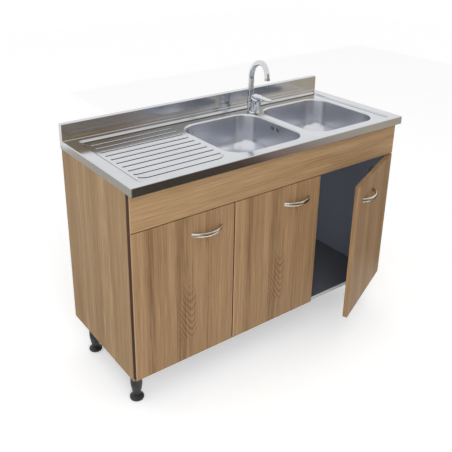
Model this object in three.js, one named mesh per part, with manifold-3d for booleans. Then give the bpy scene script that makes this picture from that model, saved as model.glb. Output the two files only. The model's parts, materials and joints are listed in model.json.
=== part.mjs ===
// Kitchen sink unit: a pressed steel top with a drainer, two bowls and a mixer
// tap, on a base cabinet with a fascia, three hinged doors and screw-in feet.
// Millimetres. +Z is up, the doors face -Y, +X runs to the right.
// The right door stands ajar, and the spout is swung a little to the left.

import * as THREE from 'three';
import { mergeVertices } from 'three/addons/utils/BufferGeometryUtils.js';
import Module from 'manifold-3d';

const wasm = await Module();
wasm.setup();

// Clearances
const FIT = 0.3;              // between pieces that touch
const DOOR_BUFFER = 0.5;      // between a closed door and the carcass
const DOOR_GAP = 3;           // between neighbouring fronts

// Steel top
const TOP_WIDTH = 1200;
const TOP_DEPTH = 500;
const TOP_HEIGHT = 850;
const SHEET = 1.2;
const APRON = 30;
const EDGE_RADIUS = 3;
const UPSTAND_HEIGHT = 61;
const UPSTAND_DEPTH = 22;
const COVE_RADIUS = 15;

// Stepped recess that holds the drainer and the bowls
const RIM_SIDE = 42;
const RIM_FRONT = 24;
const RIM_BACK = 46;
const RECESS_DEPTH = 5;
const RECESS_RADIUS = 20;
const RECESS_SLOPE = 3.5;

// Drainer ribs
const RIB_COUNT = 10;
const RIB_PITCH = 37.5;
const RIB_WIDTH = 8;
const RIB_HEIGHT = 2.6;
const RIB_FRONT = 58;         // first rib from the front edge
const RIB_MARGIN = 22;        // recess step to the ends of the ribs
const RIB_TO_BOWL = 22;
const RIB_CURL_RADIUS = 42;
const RIB_CURLS = [[50, 75], [28, 0]]; // left and right ends of the front ribs

// Bowls
const BOWL_WIDTH = 345;
const BOWL_LENGTH = 354;
const BOWL_DEPTH = 140;
const BOWL_CORNER = 78;
const BOWL_CORNER_FALL = 0.3; // corner radius lost per millimetre of inset
const BOWL_FRONT = 46;        // front edge of the top to the rim
const BOWL_GAP = 30;
const BOWL_TO_EDGE = 70;      // right edge of the top to the right rim
const BOWL_FLANGE = 2.5;
const BOWL_LIP = 6;
const BOWL_DRAFT = 8;
const FLOOR_FILLET = 50;
const FLOOR_FALL = 4;

// Basket strainers
const DRAIN_RADIUS = 44;
const SEAT_RADIUS = 57;
const SEAT_DEPTH = 5;
const SEAT_TAPER = 2;
const FLANGE_PLAY = 4;        // strainer flange inside its seat
const STRAINER_DEPTH = 34;
const STRAINER_WALL = 2;
const TAIL_RADIUS = 20;
const TAIL_LENGTH = 26;
const BASKET_DEPTH = 26;
const BASKET_TAPER = 6;
const BASKET_RIM = 4;
const KNOB_RADIUS = 8;
const KNOB_HEAD = 4;
const NUT_THICKNESS = 10;
const NUT_WIDTH = 12;

// Overflow
const SLOT_COUNT = 6;
const SLOT_WIDTH = 3.4;
const SLOT_HEIGHT = 14;
const SLOT_PITCH = 7;
const SLOT_CENTRE_GAP = 13;
const OVERFLOW_DROP = 25;     // recess floor to the middle of the slots
const OVERFLOW_BACK = 5;      // middle of the slots behind the bowl's middle
const OVERFLOW_HEIGHT = 24;
const OVERFLOW_LENGTH = 66;
const SPIGOT_RADIUS = 9;
const SPIGOT_LENGTH = 18;

// Waste
const PIPE_RADIUS = 20;
const PIPE_WALL = 2;
const PIPE_PLAY = 0.9;        // round tail inside the many-sided pipe
const PIPE_BEND = 32;
const PIPE_DROP = 62;         // strainer tail to the cross pipe
const TRAP_RADIUS = 27;
const TRAP_CUP_RADIUS = 33;
const TRAP_CUP_HEIGHT = 85;
const TRAP_BODY_DROP = 74;    // cross pipe to the lip of the trap cup
const TRAP_CAP = 8;           // cross pipe to the top of the trap
const TRAP_NUT = 12;          // overlap of the cup's nut on the body
const TRAP_LIP = 4;

// Carcass
const BOARD = 18;
const DOOR_THICKNESS = 18;
const FLOOR_THICKNESS = 16;
const BACK_THICKNESS = 4;
const SIDE_INSET = 2.5;       // side of the top to the side panel
const FRONT_SETBACK = 25;     // front of the top to the fronts
const BACK_SETBACK = 3;
const PLINTH = 130;           // floor to the carcass
const DOOR_BOTTOM = 143.5;
const FASCIA_DROP = 162;      // top to the upper edge of the doors
const RAIL_HEIGHT = 100;
const RAIL_DROP = 12;         // top to the rail
const PARTITION_DROP = 8;     // bottom of the bowls to the partition
const UNDERLAY = 16;
const SERVICE_WIDTH = 260;
const SERVICE_HEIGHT = 200;
const SERVICE_BOTTOM = 480;

// Hinges
const HINGE_FROM_END = 92;
const CUP_RADIUS = 17.5;
const CUP_DEPTH = 12;
const CUP_FROM_EDGE = 22.5;
const CUP_WALL = 1.5;
const TONGUE_WIDTH = 8;
const TONGUE_LENGTH = 8;
const TONGUE_REACH = 12;      // past the back of the door
const ARM_LENGTH = 62;
const ARM_WALL = 2;
const ARM_DEPTH = 34;         // door edge to the open side of the arm
const ARM_NOSE = 7;           // reach of the arm into the cup
const ARM_FOOT = 4;           // edge of the mounting plate past the arm
const ARM_SETBACK = 2;        // front of the panel to the arm

// Handles
const HANDLE_SPAN = 128;
const HANDLE_BOW = 30;
const HANDLE_HEIGHT = 15;
const HANDLE_THICKNESS = 7;
const HANDLE_FROM_EDGE = 47;  // free edge of the door to the nearer end
const HANDLE_FROM_TOP = 70;

// Legs
const LEG_FROM_SIDE = 44.5;
const LEG_FROM_FRONT = 104;
const LEG_SPREAD = 321;
const LEG_RADIUS = 21;
const LEG_NECK = 13.5;
const LEG_TAPER_TOP = 60;
const LEG_PLATE_RADIUS = 32;
const LEG_PLATE = 5;
const FOOT_RADIUS = 25;
const FOOT_HEIGHT = 16;
const FOOT_EDGE = 3;          // lower rounding of the foot
const FOOT_RIM = 8;           // height of the foot's rim
const STEM_RADIUS = 8;
const STEM_LENGTH = 60;

// Mixer tap
const TAP_BACK = 385;         // front edge of the top to the middle of the tap
const TAP_BASE_RADIUS = 22.5;
const TAP_BASE_HEIGHT = 6;
const TAP_BASE_BEVEL = 3;
const TAP_WAIST = 17;
const TAP_WAIST_HEIGHT = 26;
const HEAD_RADIUS = 21.5;
const HEAD_FORWARD = 4;       // foot of the head before the middle of the tap
const HEAD_LENGTH = 52;
const HEAD_BAND = 10;         // straight part below the head's top
const HEAD_TILT = 14;         // degrees, forwards
const RISER_BACK = 20;        // riser behind the middle of the tap
const SOCKET_RADIUS = 12.8;
const SOCKET_HEIGHT = 50;
const SPOUT_RADIUS = 11.5;    // at the foot of the riser
const SPOUT_TIP_RADIUS = 9.5;
const SPOUT_WALL = 2;
const COLLAR_WALL = 0.8;
const COLLAR_HEIGHT = 9;
const SPOUT_REACH = 163;
const SPOUT_RISE = 82;        // straight length of the riser
const SPOUT_ARCH = 83;        // height gained by the arch
const SPOUT_DROP = 44;
const SPOUT_NOSE = 52;        // reach of the descending bend
const AERATOR_RADIUS = 10.5;
const AERATOR_HEIGHT = 8;
const AERATOR_BORE = 5;
const CARTRIDGE_RADIUS = 14;
const CARTRIDGE_LENGTH = 30;
const HUB_HEIGHT = 6;
const HUB_BEVEL = 2.5;
const LEVER_LENGTH = 92;
const LEVER_WIDTH = 27;
const LEVER_THICKNESS = 5;
const LEVER_CHAMFER = 3;
const LEVER_NARROWING = 2;    // each side, from the root to the end
const LEVER_RAISED = 9;       // degrees from the top of the hub
const LEVER_ROOT = 9;
const SHANK_RADIUS = 10;
const SHANK_LENGTH = 60;
const TAP_HOLE = 17;
const TAP_NUT_LAP = 6;        // past the hole

// Pose of the photograph, in degrees
const RIGHT_DOOR_ANGLE = 23.5;
const SPOUT_SWING = -19;
const LEVER_TURN = 8;

// Worked out from the sizes above
const SHEET_UNDER = TOP_HEIGHT - SHEET;
const RECESS_FLOOR = TOP_HEIGHT - RECESS_DEPTH;
const RECESS_UNDER = RECESS_FLOOR - SHEET;
const UPSTAND_FRONT = TOP_DEPTH - UPSTAND_DEPTH;
const RECESS_BACK = UPSTAND_FRONT - RIM_BACK;
const BOWL_Y = BOWL_FRONT + BOWL_LENGTH / 2;
const RIGHT_BOWL_X = TOP_WIDTH / 2 - BOWL_TO_EDGE - BOWL_WIDTH / 2;
const LEFT_BOWL_X = RIGHT_BOWL_X - BOWL_WIDTH - BOWL_GAP;
const TAP_X = (LEFT_BOWL_X + RIGHT_BOWL_X) / 2;
const BOWL_TOP = RECESS_UNDER - FIT;
const SEAT_TOP = BOWL_TOP - BOWL_DEPTH - FLOOR_FALL - SEAT_DEPTH;
const CARCASS_HALF = TOP_WIDTH / 2 - SIDE_INSET;
const INNER_HALF = CARCASS_HALF - BOARD;
const FRONT_BACK = FRONT_SETBACK + DOOR_THICKNESS;
const CARCASS_FRONT = FRONT_BACK + DOOR_BUFFER;
const CARCASS_BACK = TOP_DEPTH - BACK_SETBACK;
const INNER_BACK = CARCASS_BACK - BACK_THICKNESS - FIT;
const FLOOR_TOP = PLINTH + FLOOR_THICKNESS;
const DOOR_TOP = TOP_HEIGHT - FASCIA_DROP;
const RAIL_TOP = TOP_HEIGHT - RAIL_DROP;
const PARTITION_TOP = SEAT_TOP - SHEET - PARTITION_DROP;
const DOOR_WIDTH = (2 * CARCASS_HALF - 2 * DOOR_GAP) / 3;
const DOOR_HEIGHT = DOOR_TOP - DOOR_BOTTOM;
const MIDDLE_DOOR_LEFT = -CARCASS_HALF + DOOR_WIDTH + DOOR_GAP;
const PARTITION_X = MIDDLE_DOOR_LEFT - DOOR_GAP / 2;
const HINGE_HEIGHTS = [HINGE_FROM_END, DOOR_HEIGHT - HINGE_FROM_END];
const TAIL_BOTTOM = SEAT_TOP - STRAINER_DEPTH - TAIL_LENGTH;
const CROSS_PIPE_Z = TAIL_BOTTOM - PIPE_DROP;
const ARC_STEPS = 8;

// --- geometry helpers ---

function box(x0, x1, y0, y1, z0, z1) {
  const shape = new THREE.BoxGeometry(x1 - x0, y1 - y0, z1 - z0);
  return shape.translate((x0 + x1) / 2, (y0 + y1) / 2, (z0 + z1) / 2);
}

// A round solid on +Z, from its half section as [radius, height] pairs.
function turned(profile, sides = 24) {
  const points = profile.map(([r, z]) => new THREE.Vector2(r, z));
  return new THREE.LatheGeometry(points, sides).rotateX(Math.PI / 2);
}

function rod(radius, z0, z1, sides = 24) {
  return turned([[0, z0], [radius, z0], [radius, z1], [0, z1]], sides);
}

function ring(inner, outer, z0, z1, sides = 24) {
  return turned([[inner, z0], [outer, z0], [outer, z1], [inner, z1], [inner, z0]], sides);
}

// Rounded rectangle as points, counter-clockwise seen from above.
function outline(halfWidth, halfLength, radius, z) {
  const corners = [[1, -1, -90], [1, 1, 0], [-1, 1, 90], [-1, -1, 180]];
  const points = [];
  for (const [sx, sy, start] of corners) {
    for (let i = 0; i < ARC_STEPS; i++) {
      const angle = THREE.MathUtils.degToRad(start + 90 * (i + 0.5) / ARC_STEPS);
      const x = sx * (halfWidth - radius) + radius * Math.cos(angle);
      const y = sy * (halfLength - radius) + radius * Math.sin(angle);
      points.push(new THREE.Vector3(x, y, z));
    }
  }
  return points;
}

// Skin over a stack of rings with equal counts. Open stacks get flat ends, and
// closed ones join the last ring to the first.
function skin(rings, closed = false) {
  const count = rings[0].length;
  const index = [];
  const bands = closed ? rings.length : rings.length - 1;
  for (let i = 0; i < bands; i++) {
    const low = i * count;
    const high = ((i + 1) % rings.length) * count;
    for (let j = 0; j < count; j++) {
      const k = (j + 1) % count;
      index.push(low + j, low + k, high + k, low + j, high + k, high + j);
    }
  }
  if (!closed) {
    const last = (rings.length - 1) * count;
    for (let j = 1; j < count - 1; j++) {
      index.push(0, j + 1, j, last, last + j, last + j + 1);
    }
  }
  const geometry = new THREE.BufferGeometry();
  const positions = rings.flat().flatMap((p) => [p.x, p.y, p.z]);
  geometry.setAttribute('position', new THREE.Float32BufferAttribute(positions, 3));
  return geometry.setIndex(index);
}

function toManifold(geometry) {
  const bare = geometry.clone();
  bare.deleteAttribute('normal');
  bare.deleteAttribute('uv');
  const merged = mergeVertices(bare, 1e-4);
  const vertProperties = new Float32Array(merged.attributes.position.array);
  const corners = Array.from(merged.index.array);
  const triVerts = [];
  for (let i = 0; i < corners.length; i += 3) {
    const [a, b, c] = corners.slice(i, i + 3);
    if (a !== b && b !== c && c !== a) triVerts.push(a, b, c);
  }
  const mesh = new wasm.Mesh({ numProp: 3, vertProperties, triVerts: new Uint32Array(triVerts) });
  return new wasm.Manifold(mesh);
}

function toGeometry(solid) {
  const { vertProperties, triVerts, numProp } = solid.getMesh();
  const positions = [];
  for (let i = 0; i < vertProperties.length; i += numProp) {
    positions.push(...vertProperties.slice(i, i + 3));
  }
  const geometry = new THREE.BufferGeometry();
  geometry.setAttribute('position', new THREE.Float32BufferAttribute(positions, 3));
  geometry.setIndex(Array.from(triVerts));
  geometry.computeVertexNormals();
  return geometry;
}

function join(first, ...others) {
  const sum = others.reduce((solid, g) => solid.add(toManifold(g)), toManifold(first));
  return toGeometry(sum);
}

function cut(first, ...others) {
  const rest = others.reduce((solid, g) => solid.subtract(toManifold(g)), toManifold(first));
  return toGeometry(rest);
}

function keepInside(first, second) {
  return toGeometry(toManifold(first).intersect(toManifold(second)));
}

// A nut with flat sides round a round bore.
function nutBlank(inner, outer, z0, z1, flats) {
  return cut(rod(outer, z0, z1, flats), rod(inner, z0 - 1, z1 + 1));
}

// A bar of the given cross section along a curve.
function sweep(section, path, steps) {
  return new THREE.ExtrudeGeometry(section, { extrudePath: path, steps, curveSegments: 3 });
}

function ellipse(rx, ry, sides) {
  const points = [];
  for (let i = 0; i < sides; i++) {
    const angle = 2 * Math.PI * i / sides;
    points.push(new THREE.Vector2(rx * Math.cos(angle), ry * Math.sin(angle)));
  }
  return points;
}

function steel(tone = 0xc4c6c8, roughness = 0.3) {
  return new THREE.MeshStandardMaterial({ color: tone, roughness, metalness: 1 });
}

function chrome() {
  return new THREE.MeshStandardMaterial({ color: 0xdedfe2, roughness: 0.08, metalness: 1 });
}

function oak() {
  return new THREE.MeshStandardMaterial({ color: 0xa58a68, roughness: 0.55, metalness: 0 });
}

function slate() {
  return new THREE.MeshStandardMaterial({ color: 0x44464c, roughness: 0.6, metalness: 0 });
}

function plastic(tone) {
  return new THREE.MeshStandardMaterial({ color: tone, roughness: 0.5, metalness: 0 });
}

const unit = new THREE.Group();

function place(name, geometry, material, parent = unit) {
  const mesh = new THREE.Mesh(geometry, material);
  mesh.name = name;
  parent.add(mesh);
  return mesh;
}

function group(parent, x, y, z) {
  const made = new THREE.Group();
  made.position.set(x, y, z);
  parent.add(made);
  return made;
}

// --- steel top ---

// Cross section of the top in Y and Z, drawn in by t on every side but the bottom.
function topSection(t, bottom) {
  const section = new THREE.Shape();
  const edge = EDGE_RADIUS - t;
  const coveY = UPSTAND_FRONT - COVE_RADIUS;
  const coveZ = TOP_HEIGHT + COVE_RADIUS;
  section.moveTo(t, bottom);
  section.lineTo(TOP_DEPTH - t, bottom);
  section.lineTo(TOP_DEPTH - t, TOP_HEIGHT + UPSTAND_HEIGHT - t);
  section.lineTo(UPSTAND_FRONT + t, TOP_HEIGHT + UPSTAND_HEIGHT - t);
  section.absarc(coveY, coveZ, COVE_RADIUS + t, 0, -Math.PI / 2, true);
  section.absarc(EDGE_RADIUS, TOP_HEIGHT - EDGE_RADIUS, edge, Math.PI / 2, Math.PI, false);
  return section;
}

function topBlock(t, bottom) {
  const depth = TOP_WIDTH - 2 * t;
  const options = { depth, bevelEnabled: false, curveSegments: 5 };
  const block = new THREE.ExtrudeGeometry(topSection(t, bottom), options);
  block.rotateX(Math.PI / 2);
  block.rotateZ(Math.PI / 2);
  return block.translate(-depth / 2, 0, 0);
}

// The space of the pressed recess, grown by t and with its floor lowered by t.
function recessSpace(t) {
  const halfWidth = TOP_WIDTH / 2 - RIM_SIDE + t;
  const halfLength = (RECESS_BACK - RIM_FRONT) / 2 + t;
  const radius = RECESS_RADIUS + t;
  const rise = RECESS_DEPTH + SHEET;
  const low = outline(halfWidth - RECESS_SLOPE, halfLength - RECESS_SLOPE, radius - RECESS_SLOPE,
    RECESS_FLOOR - t);
  const flare = RECESS_SLOPE * (rise - RECESS_DEPTH) / RECESS_DEPTH;
  const high = outline(halfWidth + flare, halfLength + flare, radius + flare, TOP_HEIGHT + SHEET);
  return skin([low, high]).translate(0, (RIM_FRONT + RECESS_BACK) / 2, 0);
}

function bowlOpening(x) {
  const rim = outline(BOWL_WIDTH / 2, BOWL_LENGTH / 2, BOWL_CORNER, RECESS_UNDER - SHEET);
  const above = rim.map((p) => new THREE.Vector3(p.x, p.y, TOP_HEIGHT));
  return skin([rim, above]).translate(x, BOWL_Y, 0);
}

// One drainer rib: a long bar with round ends and a rounded top, whose ends can
// curl back through the given angles in degrees.
function rib(x0, x1, y, curlLeft, curlRight) {
  const half = RIB_WIDTH / 4;
  const right = THREE.MathUtils.degToRad(curlRight);
  const left = THREE.MathUtils.degToRad(curlLeft);
  const front = -Math.PI / 2;
  const xRight = x1 - RIB_CURL_RADIUS * Math.sin(right) - 2 * half;
  const xLeft = x0 + RIB_CURL_RADIUS * Math.sin(left) + 2 * half;
  const tip = (x, angle) => [
    x + RIB_CURL_RADIUS * Math.cos(angle), RIB_CURL_RADIUS * (1 + Math.sin(angle))];
  const shape = new THREE.Shape();
  shape.absarc(xLeft, RIB_CURL_RADIUS, RIB_CURL_RADIUS + half, front - left, front, false);
  shape.absarc(xRight, RIB_CURL_RADIUS, RIB_CURL_RADIUS + half, front, front + right, false);
  shape.absarc(...tip(xRight, front + right), half, front + right, -front + right, false);
  shape.absarc(xRight, RIB_CURL_RADIUS, RIB_CURL_RADIUS - half, front + right, front, true);
  shape.absarc(xLeft, RIB_CURL_RADIUS, RIB_CURL_RADIUS - half, front, front - left, true);
  shape.absarc(...tip(xLeft, front - left), half, -front - left, -3 * front - left, false);
  const options = {
    depth: SHEET / 2, bevelSize: half, bevelThickness: RIB_HEIGHT, bevelSegments: 2,
    curveSegments: 4,
  };
  const bar = new THREE.ExtrudeGeometry(shape, options);
  const floor = box(x0 - 1, x1 + 1, -RIB_WIDTH, 2 * RIB_CURL_RADIUS, -RIB_HEIGHT - 1, 0);
  return cut(bar, floor).translate(0, y, RECESS_FLOOR - SHEET / 2);
}

function buildTop() {
  const outer = cut(topBlock(0, TOP_HEIGHT - APRON), recessSpace(0));
  const inner = cut(topBlock(SHEET, TOP_HEIGHT - APRON - 1), recessSpace(SHEET));
  const tapHole = rod(TAP_HOLE, RECESS_UNDER - SHEET, TOP_HEIGHT).translate(TAP_X, TAP_BACK, 0);
  let top = cut(outer, inner, bowlOpening(LEFT_BOWL_X), bowlOpening(RIGHT_BOWL_X), tapHole);
  const ribLeft = -TOP_WIDTH / 2 + RIM_SIDE + RIB_MARGIN;
  const ribRight = LEFT_BOWL_X - BOWL_WIDTH / 2 - RIB_TO_BOWL;
  const ribs = [];
  for (let i = 0; i < RIB_COUNT; i++) {
    const [curlLeft, curlRight] = RIB_CURLS[i] ?? [0, 0];
    ribs.push(rib(ribLeft, ribRight, RIB_FRONT + i * RIB_PITCH, curlLeft, curlRight));
  }
  top = join(top, ...ribs);
  place('worktop', top, steel());

  const halfLength = (RECESS_BACK - RIM_FRONT) / 2 - RECESS_SLOPE;
  const middle = (RECESS_BACK + RIM_FRONT) / 2;
  const underlay = box(-INNER_HALF + FIT, LEFT_BOWL_X - BOWL_WIDTH / 2 - BOWL_FLANGE - RIB_MARGIN,
    Math.max(middle - halfLength, CARCASS_FRONT + FIT), middle + halfLength,
    RECESS_UNDER - FIT - UNDERLAY, RECESS_UNDER - FIT);
  place('drainer_board', underlay, plastic(0x9c8a6c));
}

// --- bowls ---

// Stations of a bowl's wall as [inset from the rim, height], for the face that
// lies t outside the inner one.
function bowlWall(t) {
  const deep = BOWL_DEPTH - FLOOR_FILLET;
  const wall = BOWL_LIP + BOWL_DRAFT;
  const stations = [
    [-BOWL_FLANGE, -t],
    [-t, -t],
    [BOWL_LIP / 2 - t, -BOWL_LIP / 3 - t],
    [BOWL_LIP - t, -1.5 * BOWL_LIP - t],
    [wall - t, -deep],
  ];
  for (const degrees of [22, 45, 68, 90]) {
    const angle = THREE.MathUtils.degToRad(degrees);
    const reach = FLOOR_FILLET + t;
    stations.push([wall + FLOOR_FILLET - reach * Math.cos(angle), -deep - reach * Math.sin(angle)]);
  }
  return stations;
}

function bowlFace(t) {
  const rings = bowlWall(t).map(([inset, z]) => outline(BOWL_WIDTH / 2 - inset,
    BOWL_LENGTH / 2 - inset, BOWL_CORNER - BOWL_CORNER_FALL * inset, z));
  const floor = -BOWL_DEPTH - FLOOR_FALL - t;
  for (const [radius, z] of [
    [SEAT_RADIUS + t, floor], [SEAT_RADIUS - SEAT_TAPER + t, floor - SEAT_DEPTH],
    [DRAIN_RADIUS, floor - SEAT_DEPTH],
  ]) {
    rings.push(outline(radius, radius, radius, z));
  }
  return rings;
}

function bowlShell() {
  const outside = bowlFace(SHEET).reverse();
  const inside = bowlFace(0);
  return skin([...outside, ...inside], true);
}

function slotOffsets() {
  const offsets = [];
  for (let i = 0; i < SLOT_COUNT / 2; i++) {
    const away = SLOT_CENTRE_GAP / 2 + SLOT_WIDTH / 2 + i * SLOT_PITCH;
    offsets.push(-away, away);
  }
  return offsets;
}

function buildBowl(name, x, overflowSide) {
  const slotZ = RECESS_FLOOR - OVERFLOW_DROP - BOWL_TOP;
  const slots = slotOffsets().map((offset) => box(
    overflowSide * BOWL_WIDTH / 2 - BOWL_LIP - BOWL_DRAFT,
    overflowSide * BOWL_WIDTH / 2 + BOWL_LIP + BOWL_DRAFT,
    OVERFLOW_BACK + offset - SLOT_WIDTH / 2, OVERFLOW_BACK + offset + SLOT_WIDTH / 2,
    slotZ - SLOT_HEIGHT / 2, slotZ + SLOT_HEIGHT / 2));
  place(`bowl_${name}`, cut(bowlShell(), ...slots).translate(x, BOWL_Y, BOWL_TOP), steel());
}

// The flanged cup that clamps into the drain hole, its lift-out basket and the
// nut that pulls it down from below.
function buildStrainer(name, x) {
  const at = group(unit, x, BOWL_Y, SEAT_TOP + FIT);
  const cup = DRAIN_RADIUS - 3 * FIT;
  const wall = STRAINER_WALL;
  const shoulder = -STRAINER_DEPTH;
  const flange = SEAT_RADIUS - FLANGE_PLAY;
  const body = [
    [flange, 0], [flange - wall / 2, wall], [cup - wall, wall], [cup - wall, shoulder + wall],
    [TAIL_RADIUS - wall, shoulder], [TAIL_RADIUS - wall, shoulder - TAIL_LENGTH],
    [TAIL_RADIUS, shoulder - TAIL_LENGTH], [TAIL_RADIUS, shoulder - wall], [cup, shoulder],
    [cup, 0], [flange, 0],
  ];
  place(`strainer_body_${name}`, turned(body), steel(0xb8babc), at);

  const outer = cup - wall - FIT;
  const rim = wall + FIT;
  const low = rim - BASKET_DEPTH;
  const foot = outer - BASKET_TAPER;
  const basket = [
    [0, low], [foot, low], [outer, rim], [outer + BASKET_RIM, rim],
    [outer + BASKET_RIM, rim + SHEET], [outer - SHEET, rim + SHEET], [foot - wall, low + wall],
    [KNOB_RADIUS / 2, low + wall], [KNOB_RADIUS / 2, rim - KNOB_HEAD],
    [KNOB_RADIUS, rim - KNOB_HEAD / 2], [KNOB_RADIUS, rim + KNOB_HEAD / 2], [0, rim + KNOB_HEAD],
  ];
  place(`strainer_basket_${name}`, turned(basket), steel(0xc8cacc), at);

  const under = -FIT - SHEET - FIT;
  const nut = nutBlank(cup + FIT, cup + NUT_WIDTH, under - NUT_THICKNESS, under, 12);
  place(`strainer_nut_${name}`, nut, plastic(0xd8d8d4), at);
}

// How far a bowl's inner wall lies inside its rim, at a height below the lip.
function wallInset(z) {
  const lipBottom = -1.5 * BOWL_LIP;
  const share = (lipBottom - z) / (lipBottom + BOWL_DEPTH - FLOOR_FILLET);
  return BOWL_LIP + BOWL_DRAFT * share;
}

// A box whose two open sides follow the walls of the bowls.
function overflowBlock(halfLength, halfHeight, grow) {
  const middle = RECESS_FLOOR - OVERFLOW_DROP;
  const rings = [-halfHeight, halfHeight].map((dz) => {
    const reach = BOWL_GAP / 2 + wallInset(middle + dz - BOWL_TOP) - SHEET - FIT + grow;
    return [[-1, -1], [1, -1], [1, 1], [-1, 1]].map(([sx, sy]) => (
      new THREE.Vector3(sx * reach, sy * halfLength, dz)));
  });
  return skin(rings);
}

function buildOverflow() {
  const halfLength = OVERFLOW_LENGTH / 2;
  const halfHeight = OVERFLOW_HEIGHT / 2;
  const chamber = overflowBlock(halfLength, halfHeight, 0);
  const hollow = overflowBlock(halfLength - PIPE_WALL, halfHeight - PIPE_WALL, 1);
  const spigot = rod(SPIGOT_RADIUS, -halfHeight - SPIGOT_LENGTH, -halfHeight + 1, 16);
  const bore = rod(SPIGOT_RADIUS - PIPE_WALL, -halfHeight - SPIGOT_LENGTH - 1,
    -halfHeight + 2 * PIPE_WALL, 16);
  const solid = cut(join(chamber, spigot), hollow, bore);
  solid.translate(TAP_X, BOWL_Y + OVERFLOW_BACK, RECESS_FLOOR - OVERFLOW_DROP);
  place('overflow_box', solid, plastic(0xe2e2de));
}

// --- waste ---

// Runs down from a strainer, turns and ends at the middle tee.
function wastePipe(reach) {
  const bend = new THREE.CurvePath();
  const side = Math.sign(reach);
  const corner = new THREE.Vector3(0, 0, -PIPE_DROP);
  const start = new THREE.Vector3(0, 0, PIPE_RADIUS);
  const before = corner.clone().add(new THREE.Vector3(0, 0, PIPE_BEND));
  const after = corner.clone().add(new THREE.Vector3(side * PIPE_BEND, 0, 0));
  const end = corner.clone().setX(reach);
  bend.add(new THREE.LineCurve3(start, before));
  bend.add(new THREE.QuadraticBezierCurve3(before, corner, after));
  bend.add(new THREE.LineCurve3(after, end));
  const bore = PIPE_RADIUS + PIPE_PLAY;
  const outer = bore + PIPE_WALL;
  const section = new THREE.Shape(ellipse(outer, outer, 14));
  section.holes.push(new THREE.Path(ellipse(bore, bore, 14)));
  return sweep(section, bend, 12);
}

function buildWaste() {
  const white = 0xe6e6e2;
  const reach = (RIGHT_BOWL_X - LEFT_BOWL_X) / 2 - TRAP_RADIUS - FIT;
  for (const [name, x, side] of [['left', LEFT_BOWL_X, 1], ['right', RIGHT_BOWL_X, -1]]) {
    const at = group(unit, x, BOWL_Y, TAIL_BOTTOM);
    place(`waste_pipe_${name}`, wastePipe(side * reach), plastic(white), at);
  }
  const trap = group(unit, TAP_X, BOWL_Y, CROSS_PIPE_Z);
  const crossBore = rod(PIPE_RADIUS, -TRAP_RADIUS - 1, TRAP_RADIUS + 1, 20).rotateY(Math.PI / 2);
  const top = PIPE_RADIUS + TRAP_CAP;
  const down = rod(TRAP_RADIUS, -TRAP_BODY_DROP, top);
  const chamber = rod(TRAP_RADIUS - PIPE_WALL, -TRAP_BODY_DROP - 1, top - PIPE_WALL);
  const outletZ = -TRAP_BODY_DROP / 2 - PIPE_WALL;
  const outletBore = rod(PIPE_RADIUS - PIPE_WALL, 0, TRAP_RADIUS + 1, 20).rotateX(-Math.PI / 2);
  outletBore.translate(0, 0, outletZ);
  place('trap_body', cut(down, chamber, crossBore, outletBore), plastic(white), trap);

  const low = -TRAP_BODY_DROP - TRAP_CUP_HEIGHT;
  const inner = TRAP_CUP_RADIUS - PIPE_WALL;
  const cup = [
    [0, low], [TRAP_CUP_RADIUS, low], [TRAP_CUP_RADIUS, -TRAP_BODY_DROP + TRAP_NUT],
    [TRAP_RADIUS + FIT, -TRAP_BODY_DROP + TRAP_NUT],
    [TRAP_RADIUS + FIT, -TRAP_BODY_DROP - TRAP_LIP],
    [inner, -TRAP_BODY_DROP - 1.5 * TRAP_LIP], [inner, low + PIPE_WALL], [0, low + PIPE_WALL],
  ];
  place('trap_cup', turned(cup), plastic(0xdcdcd8), trap);

  const outletEnd = TOP_DEPTH - BOWL_Y - FIT;
  const outlet = ring(PIPE_RADIUS - PIPE_WALL, PIPE_RADIUS, TRAP_RADIUS + FIT, outletEnd, 20);
  outlet.rotateX(-Math.PI / 2).translate(0, 0, outletZ);
  place('waste_outlet', outlet, plastic(white), trap);
}

// --- cabinet ---

function buildCarcass() {
  const front = CARCASS_FRONT;
  for (const [name, sign] of [['left', -1], ['right', 1]]) {
    const faces = [sign * INNER_HALF, sign * CARCASS_HALF].sort((a, b) => a - b);
    const side = box(...faces, front, CARCASS_BACK, PLINTH, SHEET_UNDER - FIT);
    place(`side_panel_${name}`, side, oak());
  }
  const inner = INNER_HALF - FIT;
  place('floor_panel', box(-inner, inner, front, INNER_BACK, PLINTH, FLOOR_TOP), slate());
  const railFront = INNER_BACK - BOARD;
  const rail = box(-inner, inner, railFront, INNER_BACK, RAIL_TOP - RAIL_HEIGHT, RAIL_TOP);
  place('rear_rail', rail, slate());
  const partition = box(PARTITION_X - BOARD / 2, PARTITION_X + BOARD / 2, front, INNER_BACK,
    FLOOR_TOP + FIT, PARTITION_TOP);
  place('partition', partition, slate());
  const back = box(-inner, inner, CARCASS_BACK - BACK_THICKNESS, CARCASS_BACK, PLINTH, RAIL_TOP);
  const service = box(TAP_X - SERVICE_WIDTH / 2, TAP_X + SERVICE_WIDTH / 2,
    CARCASS_BACK - 2 * BACK_THICKNESS, CARCASS_BACK + BACK_THICKNESS,
    SERVICE_BOTTOM, SERVICE_BOTTOM + SERVICE_HEIGHT);
  place('back_panel', cut(back, service), slate());
  const fascia = box(-CARCASS_HALF, CARCASS_HALF, FRONT_SETBACK, FRONT_BACK,
    DOOR_TOP + DOOR_GAP, RECESS_UNDER - FIT);
  place('fascia', fascia, oak());
}

// --- doors, drawn from the hinge corner with y = 0 on the front face ---
// side is +1 where the door reaches to +X from its hinge, and -1 for -X.

function span(side, near, far) {
  return side > 0 ? [near, far] : [-far, -near];
}

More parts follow.
